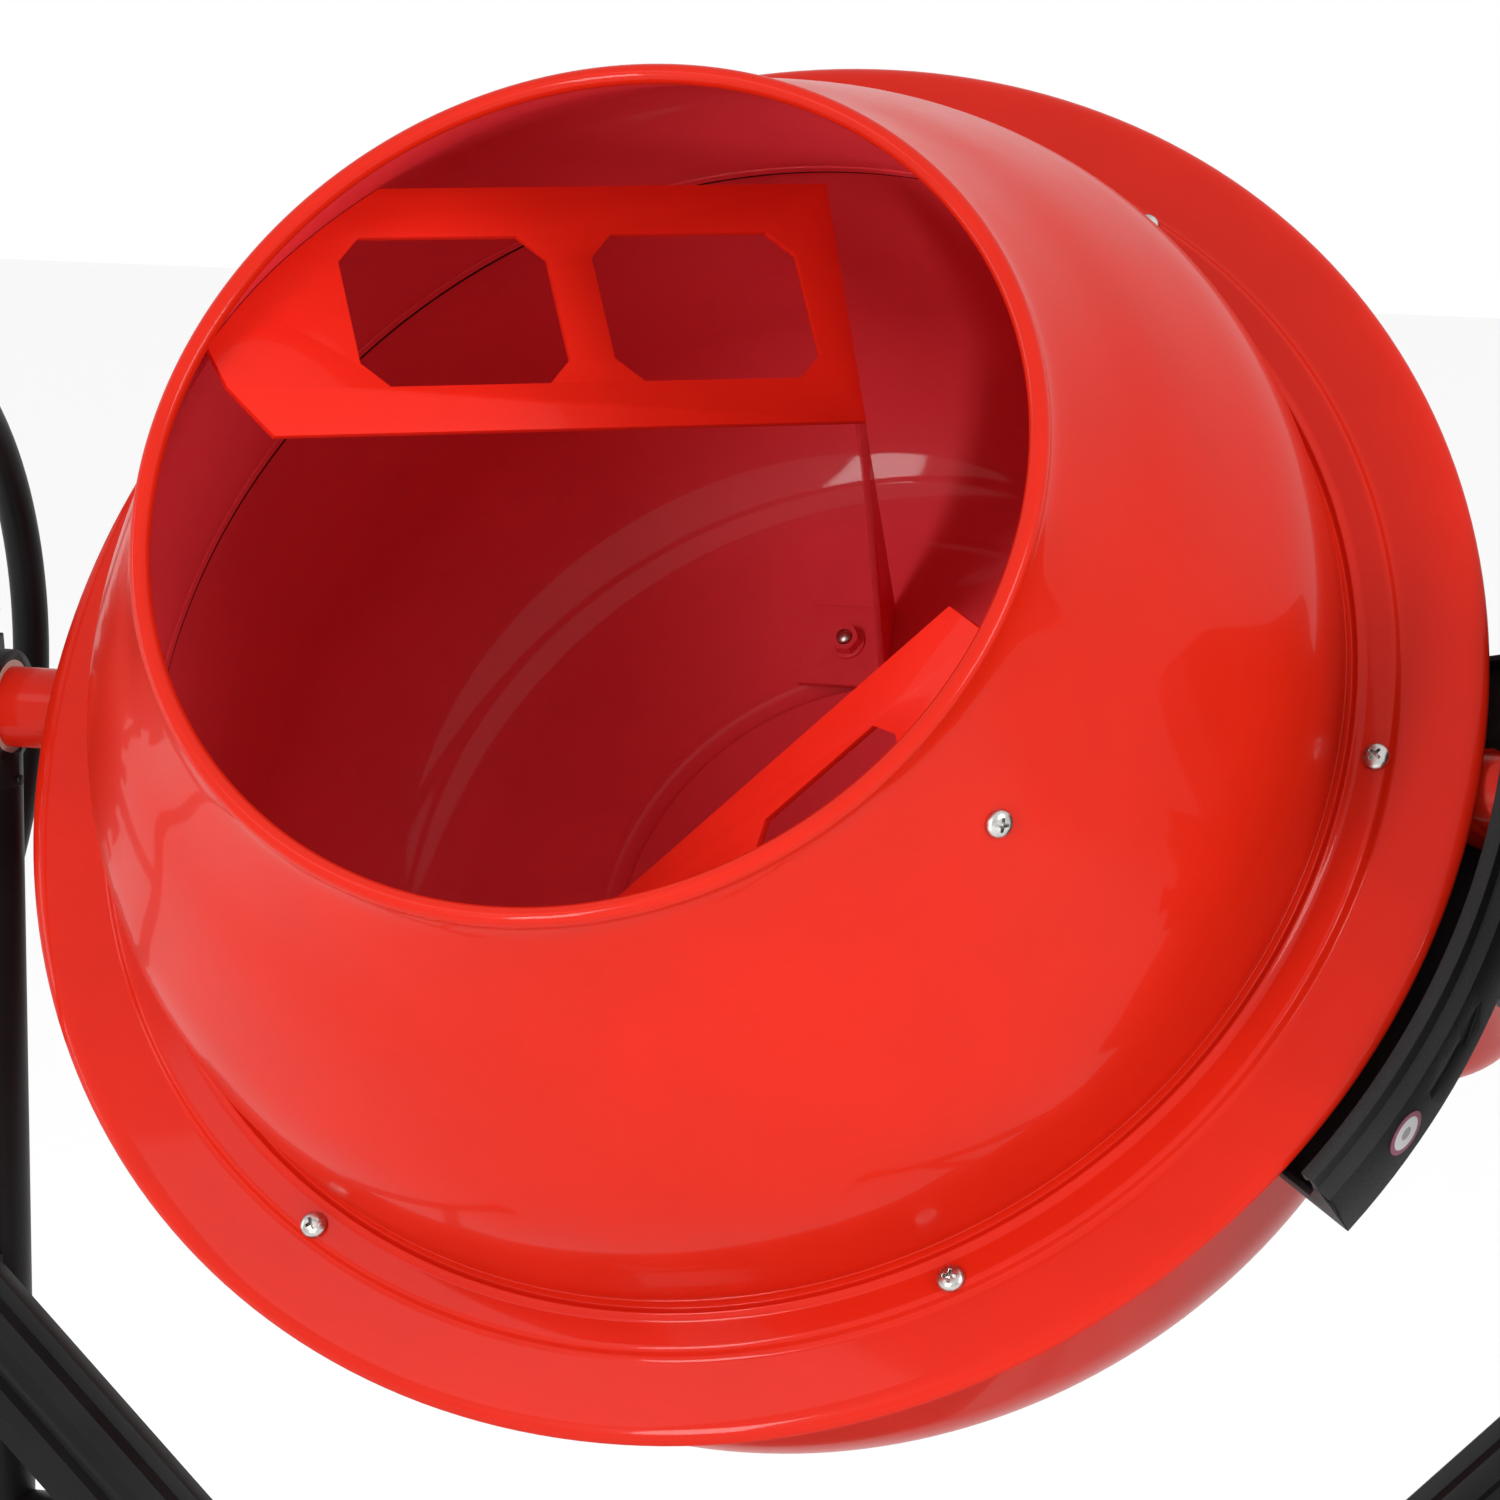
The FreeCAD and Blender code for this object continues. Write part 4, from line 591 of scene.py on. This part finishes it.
def set_out_tree():
    """Sets a shape at each point, standing on the point's own direction."""
    tree = bpy.data.node_groups.new("set out fasteners", "GeometryNodeTree")
    face = tree.interface
    face.new_socket("Geometry", in_out="INPUT", socket_type="NodeSocketGeometry")
    face.new_socket("Shape", in_out="INPUT", socket_type="NodeSocketObject")
    face.new_socket("Size", in_out="INPUT", socket_type="NodeSocketFloat")
    face.new_socket("Turn", in_out="INPUT", socket_type="NodeSocketFloat")
    face.new_socket("Seed", in_out="INPUT", socket_type="NodeSocketInt")
    face.new_socket("Finish", in_out="INPUT", socket_type="NodeSocketMaterial")
    face.new_socket("Geometry", in_out="OUTPUT", socket_type="NodeSocketGeometry")
    add = tree.nodes.new
    link = tree.links.new
    given, result = add("NodeGroupInput"), add("NodeGroupOutput")
    shape = add("GeometryNodeObjectInfo")
    link(given.outputs["Shape"], shape.inputs["Object"])
    stance = add("GeometryNodeInputNamedAttribute")
    stance.data_type = "FLOAT_VECTOR"
    stance.inputs["Name"].default_value = "stance"
    align = add("FunctionNodeAlignRotationToVector")
    align.axis = "Z"
    link(stance.outputs["Attribute"], align.inputs["Vector"])
    chance = add("FunctionNodeRandomValue")
    chance.data_type = "FLOAT"
    link(given.outputs["Turn"], chance.inputs[3])
    link(given.outputs["Seed"], chance.inputs["Seed"])
    spin = add("FunctionNodeAxisAngleToRotation")
    spin.inputs["Axis"].default_value = (0, 0, 1)
    link(chance.outputs[1], spin.inputs["Angle"])
    both = add("FunctionNodeRotateRotation")
    both.rotation_space = "LOCAL"
    link(align.outputs["Rotation"], both.inputs["Rotation"])
    link(spin.outputs["Rotation"], both.inputs["Rotate By"])
    place = add("GeometryNodeInstanceOnPoints")
    link(given.outputs["Geometry"], place.inputs["Points"])
    link(shape.outputs["Geometry"], place.inputs["Instance"])
    link(both.outputs["Rotation"], place.inputs["Rotation"])
    link(given.outputs["Size"], place.inputs["Scale"])
    real = add("GeometryNodeRealizeInstances")
    link(place.outputs["Instances"], real.inputs["Geometry"])
    paint = add("GeometryNodeSetMaterial")
    link(real.outputs["Geometry"], paint.inputs["Geometry"])
    link(given.outputs["Finish"], paint.inputs["Material"])
    link(paint.outputs["Geometry"], result.inputs["Geometry"])
    return tree


set_out_fasteners = set_out_tree()


def set_out(name, shape, spots, finish, body, seed=1, turn_range=6.28, replaced=()):
    """One mesh of the shape set at each (place, direction)."""
    mesh = bpy.data.meshes.new(name)
    mesh.from_pydata([tuple(p) for p, _ in spots], [], [])
    stance = mesh.attributes.new("stance", "FLOAT_VECTOR", "POINT")
    stance.data.foreach_set("vector", [c for _, d in spots for c in d])
    piece = bpy.data.objects.new(name, mesh)
    scene.collection.objects.link(piece)
    step = piece.modifiers.new("set out", "NODES")
    step.node_group = set_out_fasteners
    keys = {s.name: s.identifier for s in set_out_fasteners.interface.items_tree
            if s.in_out == "INPUT"}
    values = {"Shape": shape, "Size": 1.0, "Turn": turn_range, "Seed": seed, "Finish": finish}
    for key, value in values.items():
        step[keys[key]] = value
    bpy.context.view_layer.update()
    made = bpy.data.meshes.new_from_object(
        piece.evaluated_get(bpy.context.evaluated_depsgraph_get()))
    piece.modifiers.clear()
    piece.data = made
    if not made.materials:
        made.materials.append(finish)
    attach(piece, body)
    if replaced:
        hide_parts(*replaced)
    return piece


zinc_plate = plated_steel()
down_axis = drum_axis * -1
pan_size = {"radius": 0.0063, "height": 0.0039, "recess": True, "shank": 0.0029}
pan_head = fastener("pan head screw", length=0.030, **pan_size)
short_pan = fastener("short pan screw", length=0.012, **pan_size)
screw_circle, hub_circle = 0.2975, 0.058
seam_angles = [60 * k for k in range(6)]
dome_spot = (226.5, 190.0)
dome_out = (0.8609, 0.5088)
cone_spots = []
for angle in (148.0, 328.0):
    a = math.radians(angle)
    out = lean((dome_out[0] * math.cos(a), dome_out[0] * math.sin(a), dome_out[1]))
    cone_spots.append((on_drum(dome_spot[0] * 0.001, angle, dome_spot[1] * 0.001), out))
seam_spots = [(on_drum(screw_circle, a, 0.0070), drum_axis) for a in seam_angles]
set_out("seam_screws", pan_head, seam_spots, zinc_plate, "drum", 3, replaced=["drum_pan_screws"])
set_out("paddle_screws", short_pan, cone_spots, zinc_plate, "drum", 8)
small_nut = nut_shape("small flange nut", 0.0096, 0.0050, 0.0029, 0.0056)
large_nut = nut_shape("large flange nut", 0.0126, 0.0080, 0.0040, 0.0083)
nut_height = -0.00360
nut_spots = [(on_drum(screw_circle, a, nut_height), down_axis) for a in seam_angles]
behind_cone = 0.0051
nut_spots += [(place - out * behind_cone, out * -1) for place, out in cone_spots]
set_out("seam_nuts", small_nut, nut_spots, zinc_plate, "drum", 5, replaced=["drum_nuts"])
hub_angles = [45, 135, 225, 315]
foot_x, foot_y = -0.040, 0.148
foot_places = [(math.hypot(foot_x, foot_y), math.degrees(math.atan2(foot_y, foot_x)) + k)
               for k in (0, 180)]
hub_spots = [(on_drum(hub_circle, a, -0.2490), down_axis) for a in hub_angles]
set_out("hub_nuts", large_nut, hub_spots, zinc_plate, "drum", 9)
foot_spots = [(on_drum(r, a, -0.2314), drum_axis) for r, a in foot_places]
# The painted-over foot nuts take the inside copy of the drum paint, with its painted light.
set_out("foot_nuts", large_nut, foot_spots, inside_light_paint, "drum", 6)
hex_size = {"radius": 0.0074, "height": 0.0053, "recess": False, "shank": 0.0039}
hex_head = fastener("hexagon bolt", length=0.020, **hex_size)
hex_spots = [(on_drum(hub_circle, a, -0.2344), drum_axis) for a in hub_angles]
set_out("hub_bolts", hex_head, hex_spots, zinc_plate, "drum", 2, replaced=["drum_hex_bolts"])
foot_head = fastener("foot bolt", length=0.015, **hex_size)
foot_bolts = [(on_drum(r, a, -0.2360), down_axis) for r, a in foot_places]
set_out("paddle_foot_bolts", foot_head, foot_bolts, zinc_plate, "drum", 4)


# ---------------------------------------------------------------------------
# Gear ring and pinion: grey cast iron, three segments bolted under the seam,
# left as cast with a dark oiled skin and bright rubbed patches.
def cast_iron():
    iron = Finish("oiled cast iron")
    grain = iron.noise(420.0, 5.0, 0.7)
    cloud = iron.noise(38.0, 4.0)
    shade = iron.mix(cloud.between(0.3, 0.7), (0.030, 0.030, 0.032, 1), (0.085, 0.080, 0.076, 1))
    rub = cloud.between(0.56, 0.72)
    return iron.feed(Base_Color=shade, Metallic=rub * 0.5 + 0.25, Roughness=0.62 - rub * 0.2,
                     Normal=iron.bump(grain, 0.0006, 0.5))


def finish_node(finish, *names):
    """Gives CAD pieces that keep their own shape a finish."""
    for name in names:
        data = nodes[name].data
        data.materials.clear()
        data.materials.append(finish)
        for face in data.polygons:
            face.material_index = 0


iron_skin = cast_iron()
for k in (1, 2, 3):
    eased("ring_gear_segment_%d" % k, "gear_segment_%d" % k, iron_skin, 0.0004, 25, 1)
finish_node(iron_skin, "pinion")


# ---------------------------------------------------------------------------
# Hub under the bowl: a pressed stiffening disc and a cast hub turning on two
# ball bearings round a fixed spindle, which is bolted through the yoke.
def satin_black(name, shade, rough, bump_depth):
    black = Finish(name, IOR=1.5, Specular_IOR_Level=0.12)
    cloud = black.noise(30.0, 4.0)
    skin = black.noise(520.0, 3.0)
    slow = black.noise(6.0, 2.0)
    colour = black.mix((cloud * 0.5 + slow * 0.5).between(0.3, 0.7),
                       tuple(c * 0.7 for c in shade) + (1,), tuple(c * 1.35 for c in shade) + (1,))
    chip = black.noise(120.0, 5.0, 0.65).between(0.76, 0.78)
    colour = black.mix(chip * 0.7, colour, (0.20, 0.19, 0.18, 1))
    return black.feed(Base_Color=colour, Roughness=cloud * 0.16 + rough,
                      Normal=black.bump(skin, bump_depth, 0.35))


def turned_steel():
    steel = Finish("turned steel", Metallic=1.0)
    lines = steel.noise(240.0, 2.0, 0.5, (6.0, 1.0, 1.0))
    cloud = steel.noise(60.0, 3.0)
    shade = steel.mix(cloud.between(0.3, 0.7), (0.42, 0.41, 0.40, 1), (0.62, 0.61, 0.59, 1))
    return steel.feed(Base_Color=shade, Roughness=lines * 0.25 + 0.18,
                      Normal=steel.bump(lines, 0.0003, 0.25))


black_paint = satin_black("satin black paint", (0.007, 0.007, 0.0075), 0.34, 0.0003)
bare_steel = turned_steel()
finish_node(black_paint, "drum_base_plate", "drum_hub")
finish_node(bare_steel, "hub_bearings", "drum_spindle")
finish_node(zinc_plate, "spindle_nuts")


# ---------------------------------------------------------------------------
# Yoke: one welded frame of 38 mm tube that carries the drum. Two stub tubes
# turn in the tilt bearings, the arms meet them in welded mitres, and the
# bottom beam holds the spindle between two saddle plates.
def tube_mesh(name, pts, radius, rounds):
    """A round tube along a bent path in its own plane, mitred at sharp corners."""
    start = (pts[1] - pts[0]).normalized()
    normal = Vector((0, 1, 0)) if abs(start.y) < 0.9 else Vector((1, 0, 0))
    turns = [2 * math.pi * k / rounds for k in range(rounds)]
    rings = []
    work = bmesh.new()
    for i, p in enumerate(pts):
        before = (p - pts[i - 1]).normalized() if i else None
        after = (pts[i + 1] - p).normalized() if i + 1 < len(pts) else None
        along = ((before or after) + (after or before)).normalized()
        first = (normal - along * normal.dot(along)).normalized()
        second = along.cross(first)
        stretch = 1.0
        if before and after:
            half = before.angle(after, 0.0) * 0.5
            stretch = 1.0 / max(math.cos(half), 0.3)
            bend = after - before
            if bend.length > 1e-6:
                second = (bend - along * bend.dot(along)).normalized()
                first = along.cross(second)
        rings.append([p + first * (radius * math.cos(a)) + second * (radius * math.sin(a) * stretch)
                      for a in turns])
    # Neighbouring rings are kept in step round the tube.
    made = []
    last = None
    for ring in rings:
        if last is not None:
            best = min(range(rounds), key=lambda k: sum((ring[(j + k) % rounds] - last[j]).length
                                                        for j in range(0, rounds, 4)))
            flipped = ring[::-1]
            other = min(range(rounds), key=lambda k: sum(
                (flipped[(j + k) % rounds] - last[j]).length for j in range(0, rounds, 4)))
            straight = [ring[(j + best) % rounds] for j in range(rounds)]
            turned_over = [flipped[(j + other) % rounds] for j in range(rounds)]
            near = sum((a - b).length for a, b in zip(straight, last))
            far = sum((a - b).length for a, b in zip(turned_over, last))
            ring = straight if near <= far else turned_over
        last = ring
        made.append([work.verts.new(v) for v in ring])
    for low, high in zip(made[:-1], made[1:]):
        skin(work, low, high)
    work.faces.new(made[0][::-1])
    work.faces.new(made[-1])
    bmesh.ops.recalc_face_normals(work, faces=work.faces)
    mesh = bpy.data.meshes.new(name)
    work.to_mesh(mesh)
    work.free()
    return mesh


def rounded_block(work, low, high, width):
    made = bmesh.ops.create_cube(work, size=1.0)["verts"]
    for v in made:
        v.co = Vector([low[i] + (v.co[i] + 0.5) * (high[i] - low[i]) for i in range(3)])
    edges = list(dict.fromkeys(e for v in made for e in v.link_edges))
    bmesh.ops.bevel(work, geom=edges, offset=width, segments=2, affect="EDGES")


def weld_bead(work, loop, thick, seed):
    """A ripple of weld metal laid along a closed loop of points."""
    count = len(loop)
    lumps = np.random.default_rng(seed).uniform(0.82, 1.18, count)
    centre = sum(loop, Vector()) / count
    rings = []
    for k, p in enumerate(loop):
        along = (loop[(k + 1) % count] - loop[k - 1]).normalized()
        outward = p - centre
        outward = (outward - along * outward.dot(along)).normalized()
        third = along.cross(outward)
        wave = thick * lumps[k] * (1.0 + 0.16 * math.sin(k * 2.1))
        turns = [2 * math.pi * j / 8 for j in range(8)]
        rings.append([work.verts.new(p + outward * (wave * math.cos(a))
                                     + third * (wave * math.sin(a))) for a in turns])
    for k in range(count):
        skin(work, rings[k], rings[(k + 1) % count])


left_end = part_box("yoke_frame")[0].x
arm_x, beam_x, beam_z = 0.3445, 0.2785, -0.3140
tube_r = 0.019
arm_way = Vector((arm_x - beam_x, 0, -beam_z)).normalized()
bend_r = 0.076
turn_by = math.acos(arm_way.x)
reach = bend_r * math.tan(turn_by / 2)
bend_centre = Vector((beam_x - reach, 0, beam_z + bend_r))
half_path = [Vector((0.4105, 0, 0)), Vector((arm_x, 0, 0))]
steps = 14
for k in range(steps + 1):
    a = turn_by * (1 - k / steps)
    half_path.append(bend_centre + Vector((math.sin(a), 0, -math.cos(a))) * bend_r)
path = half_path + [Vector((-p.x, 0, p.z)) for p in half_path[::-1][:-1]]
path.append(Vector((left_end, 0, 0)))
lean_matrix = Matrix((across, up_slope, drum_axis)).transposed().to_4x4()
to_machine = Matrix.Translation(tilt_pivot) @ lean_matrix
frame_mesh = tube_mesh("yoke tube", path, tube_r, 48)
work = bmesh.new()
work.from_mesh(frame_mesh)
sunk, face, eased_edge = 0.008, 0.022, 0.0015
top_half, low_half = 0.040, 0.032
rounded_block(work, (-top_half, -0.025, beam_z + sunk), (top_half, 0.025, beam_z + face), eased_edge)
rounded_block(work, (-low_half, -0.022, beam_z - face), (low_half, 0.022, beam_z - sunk), eased_edge)
for sign in (-1, 1):
    slope = Vector((sign * (1 + arm_way.x), 0, arm_way.z)).normalized()
    along = Vector((slope.z, 0, -slope.x))
    half = math.acos(max(-1, min(1, slope.dot(Vector((sign, 0, 0))))))
    loop = [Vector((sign * arm_x, 0, 0)) + Vector((0, 1, 0)) * (tube_r * math.cos(a))
            + along * (tube_r / math.cos(half) * math.sin(a))
            for a in [2 * math.pi * k / 60 for k in range(60)]]
    weld_bead(work, loop, 0.0022, 4 + sign)
for saddle_half in (top_half, low_half):
    for x in (-saddle_half, saddle_half):
        loop = [Vector((x, 0, beam_z)) + Vector((0, math.cos(a), math.sin(a))) * tube_r
                for a in [2 * math.pi * k / 40 for k in range(40)]]
        weld_bead(work, loop, 0.0016, 11)
work.to_mesh(frame_mesh)
work.free()
frame_mesh.transform(to_machine)
tidy(frame_mesh, 35)
yoke_piece = add_object("yoke_frame_tube", frame_mesh, drum_paint, "yoke")
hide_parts("yoke_frame")


# ---------------------------------------------------------------------------
# Gear guard: a moulded cover of black grained plastic over the place where
# the pinion meets the gear ring, with a sunken arrow for the turning sense.
# A steel bracket on the yoke arm carries it on two screws.
def grained_plastic(name, shade, rough, grain_size, depth):
    plastic = Finish(name, IOR=1.46, Specular_IOR_Level=0.25)
    grain = plastic.noise(grain_size, 3.0, 0.6)
    cloud = plastic.noise(18.0, 3.0)
    colour = plastic.mix(cloud.between(0.25, 0.75), tuple(c * 0.8 for c in shade) + (1,),
                         tuple(c * 1.25 for c in shade) + (1,))
    return plastic.feed(Base_Color=colour, Roughness=grain * 0.2 + rough,
                        Normal=plastic.bump(grain, depth, 0.6))


guard_plastic = grained_plastic("grained black plastic", (0.014, 0.014, 0.015), 0.42, 650.0, 0.0005)
eased("pinion_guard", "gear_guard", guard_plastic, 0.0008, 30, 3)
bracket_paint = satin_black("rough black bracket", (0.02, 0.02, 0.022), 0.45, 0.0012)
eased("guard_bracket", "guard_bracket", bracket_paint, 0.0005, 30, 2)
finish_node(zinc_plate, "guard_screws")


def round_label():
    """Printed film: a white disc with a wine-red rim, a dot and nothing written on it."""
    film = Finish("printed film", IOR=1.45, Roughness=0.32)
    low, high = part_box("guard_label")
    centre = (low + high) * 0.5
    away = film.node("ShaderNodeVectorMath", {"operation": "DISTANCE"}, film.place,
                     tuple(centre), out="Value")
    wine_red = (0.34, 0.10, 0.16, 1)
    rim = away.between(0.0082, 0.0086)
    dot = 1.0 - away.between(0.0032, 0.0035)
    speck = film.noise(700.0, 2.0)
    shade = film.mix(rim, (0.80, 0.80, 0.80, 1), wine_red)
    shade = film.mix(dot * 0.8, shade, (0.30, 0.28, 0.30, 1))
    return film.feed(Base_Color=shade, Normal=film.bump(speck, 0.0001, 0.2))


finish_node(round_label(), "guard_label")


# ---------------------------------------------------------------------------
# Drive train: a steel shaft runs through the hollow tilt bearing to a large
# ribbed pulley, and the motor's small pulley turns it through a flat belt.
# Pulleys and motor case are cast aluminium.
def cast_aluminium():
    alloy = Finish("cast aluminium", Metallic=0.9)
    grain = alloy.noise(300.0, 4.0)
    cloud = alloy.noise(25.0, 3.0)
    shade = alloy.mix(cloud.between(0.3, 0.7), (0.45, 0.45, 0.46, 1), (0.60, 0.60, 0.61, 1))
    return alloy.feed(Base_Color=shade, Roughness=grain * 0.2 + 0.36,
                      Normal=alloy.bump(grain, 0.0005, 0.4))


def black_rubber(name, rough):
    rubber = Finish(name, IOR=1.5, Specular_IOR_Level=0.25)
    grain = rubber.noise(380.0, 4.0)
    cloud = rubber.noise(22.0, 4.0)
    shade = rubber.mix(cloud.between(0.3, 0.75), (0.012, 0.012, 0.012, 1),
                       (0.030, 0.029, 0.028, 1))
    return rubber.feed(Base_Color=shade, Roughness=cloud * 0.15 + rough,
                       Normal=rubber.bump(grain, 0.0006, 0.5))


def pale_bush():
    nylon = Finish("bearing plastic", IOR=1.5)
    cloud = nylon.noise(80.0, 3.0)
    shade = nylon.mix(cloud, (0.62, 0.60, 0.52, 1), (0.74, 0.72, 0.64, 1))
    return nylon.feed(Base_Color=shade, Roughness=cloud * 0.2 + 0.4,
                      Normal=nylon.bump(nylon.noise(600.0), 0.0002, 0.3))


alloy_cast = cast_aluminium()
belt_rubber = black_rubber("belt rubber", 0.62)
bearing_plastic = pale_bush()
finish_node(bare_steel, "pinion_shaft", "motor_rotor")
finish_node(alloy_cast, "large_pulley", "motor_pulley", "motor_case")
finish_node(belt_rubber, "drive_belt")
finish_node(guard_plastic, "motor_fan")
finish_node(bearing_plastic, "shaft_bushes", "tilt_bushes")


# ---------------------------------------------------------------------------
# Tilt lock and handwheel: a notched steel disc on the left stub tube, a
# spring pin of bare steel that drops into it, and a welded handwheel of round
# bar and tube; the disc and the handwheel are painted satin black.
eased("tilt_lock_disc", "tilt_lock_disc", black_paint, 0.0005, 30, 2)
finish_node(bare_steel, "tilt_lock_pin")
eased("handwheel", "handwheel", black_paint, 0.0004, 38, 2)
finish_node(zinc_plate, "handwheel_bolt")


# ---------------------------------------------------------------------------
# Stand: bent and welded steel tube, painted satin black. Posts stand on the
# leg apexes, with cast bearing heads on top; cross tubes and two pressed
# ribbed struts brace them.
for part in ("mast_left", "mast_right", "mast_head_left", "mast_head_right", "upper_cross_tube",
             "side_frame_left", "side_frame_right", "base_cross_tube"):
    eased(part, part + "_painted", black_paint, 0.0006, 38, 2)
for part in ("strut_left", "strut_right"):
    eased(part, part + "_painted", black_paint, 0.0005, 30, 2)
finish_node(zinc_plate, "strut_bolts")


# ---------------------------------------------------------------------------
# Wheels and feet: moulded red rims with solid rubber tyres on a steel axle,
# and two rubber feet at the front.
def moulded(name, shade, rough):
    plastic = Finish(name, IOR=1.46, Specular_IOR_Level=0.3)
    cloud = plastic.noise(24.0, 3.0)
    grain = plastic.noise(420.0, 2.0)
    colour = plastic.mix(cloud.between(0.3, 0.7), tuple(c * 0.85 for c in shade) + (1,),
                         tuple(shade) + (1,))
    return plastic.feed(Base_Color=colour, Roughness=cloud * 0.12 + rough,
                        Normal=plastic.bump(grain, 0.0002, 0.3))


rim_plastic = moulded("red rim plastic", (0.70, 0.035, 0.012), 0.34)
tyre_rubber = black_rubber("tyre rubber", 0.66)
for which in ("left", "right"):
    eased("wheel_rim_" + which, "moulded_rim_" + which, rim_plastic, 0.0008, 30, 2)
    eased("wheel_tyre_" + which, "tyre_tread_" + which, tyre_rubber, 0.0006, 30, 1)
eased("rubber_feet", "rubber_feet_moulded", tyre_rubber, 0.0012, 40, 2)
finish_node(bare_steel, "wheel_axle")
finish_node(guard_plastic, "axle_caps")


# ---------------------------------------------------------------------------
# Motor housing: two moulded shells of dark grained plastic, screwed together
# round the belt drive, with cooling slots. A switch box with a green and a
# red button is on its front, and a sunken mains inlet is underneath.
dark_grey = (0.020, 0.020, 0.022)
housing_plastic = grained_plastic("grained dark housing", dark_grey, 0.40, 520.0, 0.0005)
eased("housing_back", "housing_back_shell", housing_plastic, 0.0008, 38, 2)
eased("housing_cover", "housing_cover", housing_plastic, 0.0008, 38, 2)
eased("switch_box", "switch_box_moulded", guard_plastic, 0.0006, 38, 2)
finish_node(guard_plastic, "power_inlet")
finish_node(zinc_plate, "housing_screws")
green_plastic = moulded("green button", (0.02, 0.36, 0.06), 0.28)
red_plastic = moulded("red button", (0.62, 0.012, 0.010), 0.28)
eased("start_button", "start_button", green_plastic, 0.0010, 40, 3)
eased("stop_button", "stop_button", red_plastic, 0.0014, 40, 3)
